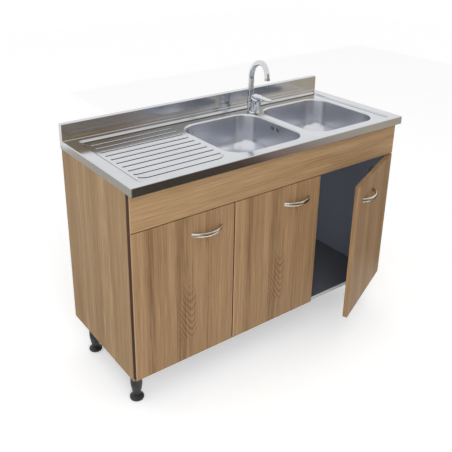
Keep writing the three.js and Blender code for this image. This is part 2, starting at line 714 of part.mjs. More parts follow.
function doorPanel(side) {
  const panel = box(...span(side, 0, DOOR_WIDTH), 0, DOOR_THICKNESS, 0, DOOR_HEIGHT);
  const bores = HINGE_HEIGHTS.map((z) => rod(CUP_RADIUS, 0, CUP_DEPTH + 1)
    .rotateX(-Math.PI / 2)
    .translate(side * CUP_FROM_EDGE, DOOR_THICKNESS - CUP_DEPTH, z));
  return cut(panel, ...bores);
}

// The cup, flush with the back of the door, with the tongue that reaches back
// between the walls of the arm.
function hingeCup(side) {
  const outer = CUP_RADIUS - FIT;
  const floor = -CUP_DEPTH + FIT;
  const shell = turned([
    [0, floor], [outer, floor], [outer, 0], [outer - CUP_WALL, 0],
    [outer - CUP_WALL, floor + CUP_WALL], [0, floor + CUP_WALL],
  ]).rotateX(-Math.PI / 2);
  const tongue = box(...span(side, 0, TONGUE_LENGTH), floor + CUP_WALL / 2, TONGUE_REACH,
    -TONGUE_WIDTH / 2, TONGUE_WIDTH / 2);
  return join(shell, tongue);
}

// A channel on the panel at faceAt from the door's edge, open to the cabinet,
// with two noses that reach into the cup.
function hingeArm(side, faceAt) {
  const inner = TONGUE_WIDTH / 2 + FIT;
  const outer = inner + ARM_WALL;
  const back = DOOR_THICKNESS + DOOR_BUFFER + ARM_LENGTH;
  const mount = DOOR_THICKNESS + DOOR_BUFFER + ARM_SETBACK;
  const web = box(...span(side, faceAt + FIT, faceAt + FIT + ARM_WALL), mount, back,
    -outer - ARM_FOOT, outer + ARM_FOOT);
  const walls = [-1, 1].map((up) => {
    const [low, high] = span(up, inner, outer);
    const beam = box(...span(side, faceAt + FIT, ARM_DEPTH), mount, back, low, high);
    const nose = box(...span(side, CUP_FROM_EDGE - 1, ARM_DEPTH), DOOR_THICKNESS - ARM_NOSE,
      mount + 1, low, high);
    return join(beam, nose);
  });
  return join(web, ...walls);
}

// A flat bow with an oval section, cut off square where it meets the door.
function bowHandle() {
  const half = HANDLE_SPAN / 2;
  const radius = (half * half + HANDLE_BOW * HANDLE_BOW) / (2 * HANDLE_BOW);
  const centre = radius - HANDLE_BOW;
  const reach = Math.asin(half / radius) + HANDLE_THICKNESS / radius;
  const arc = new THREE.Curve();
  arc.getPoint = (t, target = new THREE.Vector3()) => {
    const angle = reach * (2 * t - 1);
    const r = radius - HANDLE_THICKNESS / 2;
    return target.set(r * Math.sin(angle), centre - r * Math.cos(angle), 0);
  };
  const section = new THREE.Shape(ellipse(HANDLE_HEIGHT / 2, HANDLE_THICKNESS / 2, 10));
  const bar = sweep(section, arc, 18);
  const room = box(-HANDLE_SPAN, HANDLE_SPAN, -2 * HANDLE_BOW, -FIT, -HANDLE_HEIGHT, HANDLE_HEIGHT);
  return keepInside(bar, room);
}

function buildDoor(name, side, pivotX, faceAt, ajar) {
  const hinge = group(unit, pivotX, FRONT_SETBACK, DOOR_BOTTOM);
  hinge.rotation.z = -side * THREE.MathUtils.degToRad(ajar);
  place(`door_${name}`, doorPanel(side), oak(), hinge);
  const handle = bowHandle();
  handle.translate(side * (DOOR_WIDTH - HANDLE_FROM_EDGE - HANDLE_SPAN / 2), 0,
    DOOR_HEIGHT - HANDLE_FROM_TOP);
  place(`handle_${name}`, handle, steel(0xd2d0cc), hinge);
  HINGE_HEIGHTS.forEach((z, i) => {
    const level = i ? 'upper' : 'lower';
    const cup = hingeCup(side).translate(side * CUP_FROM_EDGE, DOOR_THICKNESS, z);
    place(`hinge_cup_${name}_${level}`, cup, steel(0xb4b4b2), hinge);
    const arm = hingeArm(side, faceAt);
    arm.translate(pivotX, FRONT_SETBACK, DOOR_BOTTOM + z);
    place(`hinge_arm_${name}_${level}`, arm, steel(0xb4b4b2));
  });
}

function buildDoors() {
  const half = PARTITION_X + BOARD / 2 - MIDDLE_DOOR_LEFT;
  buildDoor('left', 1, -CARCASS_HALF, BOARD, 0);
  buildDoor('middle', 1, MIDDLE_DOOR_LEFT, half, 0);
  buildDoor('right', -1, CARCASS_HALF, BOARD, RIGHT_DOOR_ANGLE);
}

// --- legs ---

function buildLegs() {
  const top = PLINTH - FIT;
  const bore = STEM_RADIUS + FIT;
  const stemTop = FOOT_HEIGHT + STEM_LENGTH;
  const sleeve = [
    [bore, FOOT_HEIGHT + FIT], [LEG_NECK, FOOT_HEIGHT + FIT], [LEG_RADIUS, LEG_TAPER_TOP],
    [LEG_RADIUS, top - LEG_PLATE], [LEG_PLATE_RADIUS, top - LEG_PLATE], [LEG_PLATE_RADIUS, top],
    [0, top], [0, stemTop + 2 * FIT], [bore, stemTop + 2 * FIT],
    [bore, FOOT_HEIGHT + FIT],
  ];
  const foot = [
    [0, 0], [FOOT_RADIUS - FOOT_EDGE, 0], [FOOT_RADIUS, FOOT_EDGE], [FOOT_RADIUS, FOOT_RIM],
    [LEG_NECK, FOOT_HEIGHT], [STEM_RADIUS, FOOT_HEIGHT], [STEM_RADIUS, stemTop], [0, stemTop],
  ];
  for (const [side, sign] of [['left', -1], ['right', 1]]) {
    for (const [row, y] of [['front', LEG_FROM_FRONT], ['rear', LEG_FROM_FRONT + LEG_SPREAD]]) {
      const at = group(unit, sign * (TOP_WIDTH / 2 - LEG_FROM_SIDE), y, 0);
      place(`leg_${row}_${side}`, turned(sleeve), plastic(0x1c1c1d), at);
      place(`foot_${row}_${side}`, turned(foot), plastic(0x222223), at);
    }
  }
}

// --- mixer tap, drawn from the recess floor at the middle of its base ---

// A tube along a curve that lies in the YZ plane, from one radius to another.
function taperedTube(path, startRadius, endRadius, wall, sides, steps) {
  const rings = [];
  const across = new THREE.Vector3(1, 0, 0);
  const addRing = (t, radius) => {
    const centre = path.getPoint(t);
    const normal = path.getTangent(t).cross(across);
    const points = ellipse(radius, radius, sides).map((p) => centre.clone()
      .addScaledVector(across, p.x)
      .addScaledVector(normal, p.y));
    rings.push(points);
  };
  const radiusAt = (t) => THREE.MathUtils.lerp(startRadius, endRadius, t);
  for (let i = 0; i <= steps; i++) {
    addRing(i / steps, radiusAt(i / steps));
  }
  for (let i = steps; i >= 0; i--) {
    addRing(i / steps, radiusAt(i / steps) - wall);
  }
  return skin(rings, true);
}

// Length of a quarter ellipse, near enough to space points along it.
function quarterLength(across, up) {
  return Math.PI / 4 * (across + up);
}

// Up the riser, over the long arch and down the shorter bend to the outlet.
class SwanNeck extends THREE.Curve {
  getPoint(t, target = new THREE.Vector3()) {
    const crest = SPOUT_REACH - SPOUT_NOSE;
    const legs = [SPOUT_RISE, quarterLength(crest, SPOUT_ARCH),
      quarterLength(SPOUT_NOSE, SPOUT_DROP)];
    let along = t * (legs[0] + legs[1] + legs[2]);
    if (along <= legs[0]) return target.set(0, 0, along);
    along -= legs[0];
    if (along <= legs[1]) {
      const angle = Math.PI / 2 * along / legs[1];
      return target.set(0, -crest * (1 - Math.cos(angle)), SPOUT_RISE + SPOUT_ARCH * Math.sin(angle));
    }
    const angle = Math.PI / 2 * Math.min(1, (along - legs[1]) / legs[2]);
    const height = SPOUT_RISE + SPOUT_ARCH - SPOUT_DROP * (1 - Math.cos(angle));
    return target.set(0, -crest - SPOUT_NOSE * Math.sin(angle), height);
  }
}

function buildSpout(tap) {
  const riser = group(tap, 0, RISER_BACK, SOCKET_HEIGHT + FIT);
  riser.rotation.z = THREE.MathUtils.degToRad(SPOUT_SWING);
  const tube = taperedTube(new SwanNeck(), SPOUT_RADIUS, SPOUT_TIP_RADIUS, SPOUT_WALL, 12, 26);
  const collar = ring(SPOUT_RADIUS - SPOUT_WALL + COLLAR_WALL, SPOUT_RADIUS + COLLAR_WALL, 0,
    COLLAR_HEIGHT);
  place('spout', join(tube, collar), chrome(), riser);
  const outletZ = SPOUT_RISE + SPOUT_ARCH - SPOUT_DROP - FIT;
  const aerator = ring(AERATOR_BORE, AERATOR_RADIUS, outletZ - AERATOR_HEIGHT, outletZ);
  place('aerator', aerator.translate(0, -SPOUT_REACH, 0), chrome(), riser);
}

function tapBody() {
  const base = TAP_BASE_HEIGHT + FIT;
  const tilt = THREE.MathUtils.degToRad(HEAD_TILT);
  const head = turned([[0, 0], [TAP_WAIST - 2, 0], [HEAD_RADIUS, HEAD_LENGTH - HEAD_BAND],
    [HEAD_RADIUS, HEAD_LENGTH], [0, HEAD_LENGTH]]);
  const pocket = rod(CARTRIDGE_RADIUS + FIT, HEAD_LENGTH - CARTRIDGE_LENGTH - FIT, HEAD_LENGTH + 1);
  head.rotateX(tilt).translate(0, -HEAD_FORWARD, TAP_BASE_HEIGHT);
  pocket.rotateX(tilt).translate(0, -HEAD_FORWARD, TAP_BASE_HEIGHT);
  const waist = rod(TAP_WAIST, base, base + TAP_WAIST_HEIGHT);
  const socket = rod(SOCKET_RADIUS, base, SOCKET_HEIGHT).translate(0, RISER_BACK, 0);
  const half = SOCKET_RADIUS - FIT;
  const bridge = box(-half, half, 0, RISER_BACK, base, SOCKET_HEIGHT - HEAD_BAND);
  const wide = 2 * HEAD_RADIUS;
  const below = box(-wide, wide, -wide, wide, -HEAD_RADIUS, base);
  return cut(join(head, waist, socket, bridge), pocket, below);
}

// A flat blade that rises from a round root, with the pivot at the back.
function leverBlade(rootRadius) {
  const raised = THREE.MathUtils.degToRad(LEVER_RAISED);
  const half = LEVER_WIDTH / 2;
  const shape = new THREE.Shape();
  const end = half - LEVER_NARROWING;
  shape.moveTo(-half + LEVER_CHAMFER, 0);
  shape.lineTo(half - LEVER_CHAMFER, 0);
  shape.lineTo(half, -half);
  shape.absarc(0, end - LEVER_LENGTH, end, 0, -Math.PI, true);
  shape.lineTo(-half, -half);
  const blade = new THREE.ExtrudeGeometry(shape, {
    depth: LEVER_THICKNESS, bevelEnabled: false, curveSegments: 6,
  });
  blade.rotateX(-raised);
  const root = rod(rootRadius, 0, LEVER_ROOT, 32).translate(0, -rootRadius, 0);
  const above = box(-2 * rootRadius, 2 * rootRadius, -3 * rootRadius, rootRadius,
    LEVER_THICKNESS / 2, 4 * LEVER_ROOT).rotateX(-raised);
  return join(cut(root, above), blade);
}

function buildTap() {
  const tap = group(unit, TAP_X, TAP_BACK, RECESS_FLOOR);
  const base = turned([
    [SHANK_RADIUS + FIT, FIT], [TAP_BASE_RADIUS, FIT], [TAP_BASE_RADIUS, TAP_BASE_HEIGHT / 2],
    [TAP_BASE_RADIUS - TAP_BASE_BEVEL, TAP_BASE_HEIGHT], [SHANK_RADIUS + FIT, TAP_BASE_HEIGHT],
    [SHANK_RADIUS + FIT, FIT],
  ], 32);
  place('tap_base_ring', base, chrome(), tap);
  place('tap_body', tapBody(), chrome(), tap);
  place('tap_shank', rod(SHANK_RADIUS, -SHANK_LENGTH, TAP_BASE_HEIGHT, 16), steel(0xb09a5a), tap);
  const nutTop = -SHEET - FIT;
  const nut = nutBlank(SHANK_RADIUS + FIT, TAP_HOLE + TAP_NUT_LAP, nutTop - NUT_THICKNESS, nutTop, 6);
  place('tap_nut', nut, steel(0xb09a5a), tap);

  const head = group(tap, 0, -HEAD_FORWARD, TAP_BASE_HEIGHT);
  head.rotation.x = THREE.MathUtils.degToRad(HEAD_TILT);
  const cartridge = rod(CARTRIDGE_RADIUS, HEAD_LENGTH - CARTRIDGE_LENGTH, HEAD_LENGTH);
  place('cartridge', cartridge, plastic(0xd0d0cc), head);
  const hubLow = HEAD_LENGTH + FIT;
  const hub = turned([[0, hubLow], [HEAD_RADIUS, hubLow], [HEAD_RADIUS, hubLow + 2],
    [HEAD_RADIUS - HUB_BEVEL, hubLow + HUB_HEIGHT], [0, hubLow + HUB_HEIGHT]], 32);
  place('lever_hub', hub, chrome(), head);

  head.rotateZ(THREE.MathUtils.degToRad(LEVER_TURN));
  const root = HEAD_RADIUS - HUB_BEVEL;
  const pivot = group(head, 0, root, hubLow + HUB_HEIGHT + FIT);
  place('lever', leverBlade(root), chrome(), pivot);
  buildSpout(tap);
}

buildTop();
buildBowl('left', LEFT_BOWL_X, 1);
buildBowl('right', RIGHT_BOWL_X, -1);
buildStrainer('left', LEFT_BOWL_X);
buildStrainer('right', RIGHT_BOWL_X);
buildOverflow();
buildWaste();
buildCarcass();
buildDoors();
buildLegs();
buildTap();

// The origin is the middle of the bottom of the box around the posed unit.
unit.updateMatrixWorld(true);
const bounds = new THREE.Box3().setFromObject(unit, true);
const middle = bounds.getCenter(new THREE.Vector3());
unit.position.set(-middle.x, -middle.y, -bounds.min.z);
unit.updateMatrixWorld(true);

export default unit;
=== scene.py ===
"""The looks of a kitchen sink unit: steel top with two bowls, mixer tap and an oak decor cabinet.

Everything is in metres, +Z up, and stands where the CAD model has it.
"""

import json
import math

import bmesh
import bpy
from mathutils import Matrix, Vector

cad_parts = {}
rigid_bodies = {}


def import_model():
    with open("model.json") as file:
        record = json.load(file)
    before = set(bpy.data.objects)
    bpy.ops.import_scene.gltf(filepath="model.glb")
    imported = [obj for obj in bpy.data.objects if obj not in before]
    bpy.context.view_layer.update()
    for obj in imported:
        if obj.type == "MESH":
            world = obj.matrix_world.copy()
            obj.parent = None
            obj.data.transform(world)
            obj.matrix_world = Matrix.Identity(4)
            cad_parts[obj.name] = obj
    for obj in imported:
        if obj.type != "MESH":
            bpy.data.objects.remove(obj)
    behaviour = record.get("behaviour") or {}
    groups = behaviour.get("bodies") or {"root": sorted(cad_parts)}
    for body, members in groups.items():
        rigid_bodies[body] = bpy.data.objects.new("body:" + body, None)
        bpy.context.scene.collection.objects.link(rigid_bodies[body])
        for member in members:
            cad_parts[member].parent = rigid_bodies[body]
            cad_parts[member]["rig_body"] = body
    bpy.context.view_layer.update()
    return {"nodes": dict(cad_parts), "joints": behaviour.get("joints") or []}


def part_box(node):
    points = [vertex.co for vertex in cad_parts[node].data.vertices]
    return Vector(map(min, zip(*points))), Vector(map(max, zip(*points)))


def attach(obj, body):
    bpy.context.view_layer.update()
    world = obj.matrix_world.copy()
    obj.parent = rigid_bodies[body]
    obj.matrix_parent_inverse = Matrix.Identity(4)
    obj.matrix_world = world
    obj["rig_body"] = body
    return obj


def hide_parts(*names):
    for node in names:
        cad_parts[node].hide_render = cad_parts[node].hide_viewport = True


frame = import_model()
nodes = frame["nodes"]
joints = {joint["name"]: joint for joint in frame["joints"]}

# --- camera, fitted to the photograph ---
PHOTO_SIDE = 452                 # pixels
FOCAL_PIXELS = 628.83
SENSOR = 36
CAMERA_AT = Vector((-1.38046, -1.63495, 1.58754))
CAMERA_HEADING = 35.7818         # degrees from +Y towards +X
CAMERA_DOWN = 21.7958
CAMERA_ROLL = 0.3359
CAMERA_SHIFT = (0.042355, -0.141772)

# --- steel top ---
SHEET = 0.0012
EDGE_RADIUS = 0.003
EDGE_FLATNESS = 0.9              # share of the edge's radius that its rounding draws in
UPSTAND_HEIGHT = 0.061
UPSTAND_DEPTH = 0.022
UPSTAND_PROUD = 0.0001           # its ends outside the ends of the top
COVE_RADIUS = 0.0015
RIM_SIDE = 0.042
RIM_FRONT = 0.024
RIM_BACK = 0.046
RECESS_DEPTH = 0.005
RECESS_RADIUS = 0.020
RECESS_SLOPE = 0.0035
RECESS_LOOPS = 8                 # from the rim down to the recess floor
BEVEL_WIDTH = 0.023              # the shallow slope along the back, before its steep foot
BEVEL_SHARE = 0.5                # of the recess depth
BEVEL_FOOT = 0.0008
FOOT_SHADE_LEFT = (0.004, 0.0055)      # painted shade at the recess's left foot: full up to the first distance from the foot, gone at the second
# painted shade along the foot of the back bevel: full up to the first distance, gone at the second
FOOT_SHADE_BACK = (0.001, 0.004)
RIB_COUNT = 10
RIB_PITCH = 0.0375
RIB_WIDTH = 0.008
RIB_HEIGHT = 0.0026
RIB_FRONT = 0.058
RIB_MARGIN = 0.022
RIB_TO_BOWL = 0.022
RIB_CURL_RADIUS = 0.042
RIB_CURLS = [(50, 75), (28, 0)]  # left and right ends of the front ribs, in degrees

# --- bowls ---
BOWL_FLANGE = 0.0025
BOWL_CORNER = 0.078
BOWL_CORNER_FALL = 0.3
BOWL_LIP = 0.006
BOWL_DRAFT = 0.008
BOWL_DEPTH = 0.140
FLOOR_FILLET = 0.050
FLOOR_FALL = 0.004
WALL_STATIONS = (0.3, 0.65, 1.0) # shares of the straight wall
SEAT_RADIUS = 0.057
SEAT_DEPTH = 0.005
SEAT_SLOPE = 0.003               # width of its side
SEAT_EDGE = 0.001
DISH_WIDTH = 0.020               # of the floor that falls to the seat
DISH_RISE = 0.0012
DRAIN_RADIUS = 0.044
OVERFLOW_DROP = 0.025
OVERFLOW_BACK = 0.005
SLOT_COUNT = 6
SLOT_WIDTH = 0.0034
SLOT_HEIGHT = 0.014
SLOT_PITCH = 0.007
SLOT_CENTRE_GAP = 0.013
ROUND_STEPS = 96                 # sides of a bowl's outline

# --- strainers and waste ---
STRAINER_WALL = 0.002
STRAINER_FLANGE = 0.053
STRAINER_CUP = 0.0431
STRAINER_DEPTH = 0.034
TAIL_RADIUS = 0.020
TAIL_LENGTH = 0.026
BASKET_TOP = 0.0408              # outer radius just below its rim
BASKET_RIM = 0.0448
BASKET_LOW = -0.0237
BASKET_FOOT = 0.0348
BASKET_RIM_LOW = 0.0023
BASKET_HOLE = 0.0021
BASKET_CUT = 0.004               # reach of the holes above and below the basket's floor
BASKET_RINGS = [(9, 0.0125, 0), (14, 0.0195, 0.5), (20, 0.0265, 0)]  # holes, radius, offset
BASKET_SLOTS = 24
SLOT_FOOT = 0.006                # basket's floor to the slots in its wall
KNOB_RADIUS = 0.008
KNOB_RISE = 0.004                # above and below the basket's rim
KNOB_EDGE = 0.002
PIPE_RADIUS = 0.0229
PIPE_WALL = 0.002
PIPE_DROP = 0.062
PIPE_BEND = 0.032
TRAP_RADIUS = 0.027
TRAP_CUP_RADIUS = 0.033
PIPE_NUT = 0.029                 # over its flutes
PIPE_NUT_HEIGHT = 0.018
TRAP_NUT_LAP = 0.005
TRAP_NUT_HEIGHT = 0.022
FLUTE_STEPS = 6                  # sides of a nut for each flute
FLUTE_DEPTH = 0.07               # share of the nut's radius
NUT_CHAMFER = 0.0012

# --- doors, handles and hinges ---
FIT = 0.0003
DOOR_BOTTOM = 0.1435
DOOR_WIDTH = 0.39633
HANDLE_SPAN = 0.128
HANDLE_BOW = 0.030
HANDLE_HEIGHT = 0.015
HANDLE_THICKNESS = 0.007
HANDLE_FROM_EDGE = 0.047
HANDLE_AT = 0.4745               # above the bottom of the door
DOOR_HINGES = {"left": (1, 0), "middle": (1, 0), "right": (-1, 23.5)}   # reach, degrees ajar
BOARD_EDGE = 0.0007
ARM_WALL = 0.002
SCREW_RADIUS = 0.0036
SCREW_SINK = 0.001
SCREW_EDGE = 0.0004
SCREW_CROWN = 0.0009
SCREW_PLACES = (0.55, 0.88)      # shares of the hinge arm's depth

# --- printed oak ---
EDGING_DEPTH = 0.0007
EDGE_HIGHLIGHT_WIDTH = 0.0045             # width of the painted highlight beside the edging, where the rounded edge would catch light
FLAME_BLUNTNESS = 2.1            # how fast the arches rise to their sides
FLAME_TIP = 0.012                # radius of their rounded tips
FLAME_RING = 0.027
FLAME_REACH = 0.062              # to the left of their tips
FLAME_HEIGHT = 0.26
FLAME_SHADE = 0.06               # tone lost in the whole figure
FLAME_RING_SHADE = 0.12          # tone lost and gained in its rings
SIDE_BANDS = [(0.0, 0.53), (0.08, 0.46), (0.15, 0.55), (0.24, 0.47), (0.33, 0.56),
              (0.4, 0.45), (0.46, 0.55)]                                 # metres, tone
PRINT_BANDS = [(0.0, 0.56), (0.08, 0.55), (0.15, 0.40), (0.22, 0.55), (0.36, 0.56), (0.46, 0.38),
               (0.56, 0.5), (0.62, 0.55), (0.72, 0.42), (0.82, 0.55), (1.0, 0.58)]  # share, tone
OTHER_BANDS = [(0.0, 0.5), (0.12, 0.42), (0.3, 0.55), (0.5, 0.44), (0.68, 0.55), (0.85, 0.46),
               (1.0, 0.52)]
DOOR_BANDS = {"left": PRINT_BANDS, "middle": PRINT_BANDS, "right": OTHER_BANDS}
DOOR_FLAMES = {"left": (0.222, 0.085), "middle": (0.222, 0.085)}
DOOR_LIFTS = {"left": -0.03, "middle": 0.0, "right": 0.04}
DOOR_EDGINGS = {"left": "X", "middle": "X"}
DOOR_SEEDS = {"left": 1.3, "middle": 1.3, "right": 9.1}
SIDE_LININGS = {"left": (-1, -0.0173), "right": (-0.0007, 1)}
SIDE_SEEDS = {"left": 3.1, "right": 7.7}
SIDE_LIFT = 0.24
FASCIA_LIFT = 0.16
FASCIA_SEED = 5.3

# --- legs ---
LEG_RADIUS = 0.021
LEG_NECK = 0.0135
LEG_FOOT_GAP = 0.0163
LEG_TAPER_TOP = 0.060
LEG_TOP = 0.1297
LEG_PLATE_RADIUS = 0.032
LEG_PLATE = 0.005
FOOT_RADIUS = 0.025
FOOT_HEIGHT = 0.016
STEM_RADIUS = 0.008
STEM_TOP = 0.076
WEB_COUNT = 3
WEB_THICKNESS = 0.0024
WEB_HEIGHT = 0.012
WEB_START = 30                   # degrees from +X

# --- mixer tap ---
SHANK_RADIUS = 0.010
TAP_BASE_RADIUS = 0.0225
TAP_BASE_HEIGHT = 0.006
TAP_BASE_BEVEL = 0.003
TAP_WAIST = 0.017
TAP_WAIST_HEIGHT = 0.026
TAP_WAIST_STRAIGHT = 0.014
HEAD_RADIUS = 0.0215
HEAD_FORWARD = 0.004
HEAD_LENGTH = 0.052
HEAD_BAND = 0.010
HEAD_TILT = 14                   # degrees, forwards
HEAD_FOOT = 0.006                # below the base ring, before it is cut level
HEAD_FOOT_INSET = 0.002
RISER_BACK = 0.020
SOCKET_RADIUS = 0.0128
SOCKET_HEIGHT = 0.050
SPOUT_FOOT_RADIUS = 0.0115
SPOUT_TIP_RADIUS = 0.0095
SPOUT_RISE = 0.082
SPOUT_REACH = 0.163
SPOUT_NOSE = 0.052
SPOUT_ARCH = 0.083
SPOUT_DROP = 0.044
SPOUT_SWING = -19                # degrees
AERATOR_RADIUS = 0.0105
AERATOR_HEIGHT = 0.008
AERATOR_BORE = 0.005
SCREEN_LAP = 0.0004
SCREEN_PLANES = (0.0022, 0.0035) # heights of its faces above the end of the aerator
COLLAR_HEIGHT = 0.009
COLLAR_PROUD = 0.0008
COLLAR_LAP = 0.001
HUB_HEIGHT = 0.006
HUB_BEVEL = 0.0025
LEVER_LENGTH = 0.092
LEVER_WIDTH = 0.027
LEVER_THICKNESS = 0.005
LEVER_NARROWING = 0.002
LEVER_ROOT = 0.009
LEVER_EDGE = 0.0012
LEVER_RAISED = 9                 # degrees
LEVER_TURN = 8                   # degrees
CARTRIDGE_RADIUS = 0.014
CARTRIDGE_LENGTH = 0.030

# --- stage and light ---
FLOOR_SIDE = 14
FLOOR_DROP = 0.0006
FLOOR_GLOW = 0.3                 # where the floor is seen directly
SKY_LEVEL = 0.78
LAMPS = [("softbox", (-1.6, -2.2, 3.0), 2.2, 24), ("front_fill", (-1.5, -2.6, 1.3), 1.2, 28)]
LAMP_AIM = Vector((0.1, 0, 0.5))
WALL_CARD_AT = -3.4
WALL_CARD_HEIGHT = 2.9
CARD_RISE = 0.004                # of the cards on the floor

# --- places taken from the frame ---
top_low, top_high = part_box("worktop")
RIM_PLANE = top_high.z - UPSTAND_HEIGHT
RECESS_FLOOR = RIM_PLANE - RECESS_DEPTH


# --- shader maths ---

class Socket:
    """An output of a shader node that takes part in Python arithmetic."""

    def __init__(self, graph, output):
        self.graph = graph
        self.output = output

    def maths(self, operation, first, second=0.0):
        return self.graph.node("ShaderNodeMath", {"operation": operation}, {0: first, 1: second})

    def __add__(self, other):
        return self.maths("ADD", self, other)

    __radd__ = __add__

    def __sub__(self, other):
        return self.maths("SUBTRACT", self, other)

    def __rsub__(self, other):
        return self.maths("SUBTRACT", other, self)

    def __mul__(self, other):
        return self.maths("MULTIPLY", self, other)

    __rmul__ = __mul__

    def __truediv__(self, other):
        return self.maths("DIVIDE", self, other)

    def __abs__(self):
        return self.maths("ABSOLUTE", self)

    def sine(self):
        return self.maths("SINE", self)

    def root(self):
        return self.maths("SQRT", self)

    def above(self, limit):
        return self.maths("GREATER_THAN", self, limit)

    def below(self, limit):
        return self.maths("LESS_THAN", self, limit)

    def ease(self, low, high):
        """0 below low and 1 above high, with a soft step between them."""
        settings = {"interpolation_type": "SMOOTHSTEP"}
        return self.graph.node("ShaderNodeMapRange", settings, {0: self, 1: low, 2: high})


class Graph:
    """A node tree that is written as expressions."""

    def __init__(self, tree):
        self.tree = tree

    def node(self, kind, settings=None, sockets=None, output=0):
        made = self.tree.nodes.new(kind)
        for name, value in (settings or {}).items():
            if name == "stops":
                self.fill_ramp(made.color_ramp, value)
            else:
                setattr(made, name, value)
        for key, value in (sockets or {}).items():
            self.feed(made.inputs[key], value)
        return Socket(self, made.outputs[output])

    def feed(self, socket, value):
        if isinstance(value, Socket):
            self.tree.links.new(value.output, socket)
        else:
            socket.default_value = value

    def fill_ramp(self, ramp, stops):
        while len(ramp.elements) < len(stops):
            ramp.elements.new(1.0)
        for element, (place, colour) in zip(ramp.elements, stops):
            element.position = place
            element.color = colour
        ramp.interpolation = "EASE"

    def ramp(self, value, stops):
        return self.node("ShaderNodeValToRGB", {"stops": stops}, {0: value})

    def mix(self, share, first, second):
        """Colours first to second as share goes from 0 to 1."""
        settings = {"data_type": "RGBA"}
        return self.node("ShaderNodeMix", settings, {0: share, 6: first, 7: second}, 2)

    def noise(self, place, scale, detail=2.0, roughness=0.5, distortion=0.0):
        """Noise with its own scale along each axis, in cycles per metre."""
        stretched = self.node("ShaderNodeVectorMath", {"operation": "MULTIPLY"},
                              {0: place, 1: scale})
        sockets = {"Vector": stretched, "Scale": 1.0, "Detail": detail, "Roughness": roughness,
                   "Distortion": distortion}
        return self.node("ShaderNodeTexNoise", {}, sockets)

    def place(self, origin=(0, 0, 0), turn=(0, 0, 0)):
        """Object coordinates as seen from an origin and a turn in radians."""
        position = self.node("ShaderNodeTexCoord", output="Object")
        sockets = {"Vector": position, "Location": origin, "Rotation": turn}
        return self.node("ShaderNodeMapping", {"vector_type": "TEXTURE"}, sockets)

    def axis(self, place, name):
        return self.node("ShaderNodeSeparateXYZ", {}, {0: place}, name)

    def bump(self, height, strength, distance):
        """A normal from a height, for a surface whose relief is distance metres."""
        sockets = {"Height": height, "Strength": strength, "Distance": distance}
        return self.node("ShaderNodeBump", {}, sockets)


class Finish(Graph):
    """A procedural material with a Principled shader."""

    def __init__(self, name, **constants):
        self.material = bpy.data.materials.new(name)
        self.material.use_nodes = True
        super().__init__(self.material.node_tree)
        self.shader = self.tree.nodes["Principled BSDF"]
        for socket, value in constants.items():
            self.shader.inputs[socket.replace("_", " ")].default_value = value

    def set(self, socket, value):
        self.feed(self.shader.inputs[socket], value)

    def set_surface(self, shader):
        """Shows another shader in place of the Principled one."""
        self.feed(self.tree.nodes["Material Output"].inputs["Surface"], shader)

    def clouded(self, clouds, tone, shade, low=0.35, high=0.65):
        """The tone, darkened to its shade where the clouds are thin."""
        dark = tuple(shade * part for part in tone[:3]) + (1.0,)
        return self.mix(clouds.ease(low, high), dark, tone)


def srgb(red, green, blue):
    """A colour from 0 to 255 as Blender's linear one."""
    def linear(value):
        share = value / 255
        return share / 12.92 if share <= 0.04045 else ((share + 0.055) / 1.055) ** 2.4
    return (linear(red), linear(green), linear(blue), 1.0)


def grey(value):
    return (value, value, value, 1.0)


# --- finishes ---

POLISH_ALONG = 9                 # cycles per metre of the polishing lines
POLISH_ACROSS = 1400
OAK_TONES = [
    (0.0, srgb(88, 60, 36)), (0.3, srgb(116, 88, 58)), (0.55, srgb(142, 112, 80)),
    (0.8, srgb(158, 128, 92)), (1.0, srgb(180, 152, 114)),
]
SLATE = srgb(146, 152, 168)
SLATE_SHADE = srgb(137, 143, 159)


def brushed_steel(name, tone, roughness, along="x"):
    """Metal with fine polishing lines along one axis."""
    finish = Finish(name, Metallic=1.0)
    place = finish.place()
    scale = [POLISH_ACROSS] * 3
    scale["xyz".index(along)] = POLISH_ALONG
    lines = finish.noise(place, scale, 3)
    clouds = finish.noise(place, (7, 7, 7), 2)
    finish.set("Base Color", finish.clouded(clouds, tone, 0.93))
    finish.set("Roughness", roughness - 0.05 + 0.07 * lines + 0.05 * clouds)
    finish.set("Normal", finish.bump(lines, 0.12, 0.00002))
    return finish.material


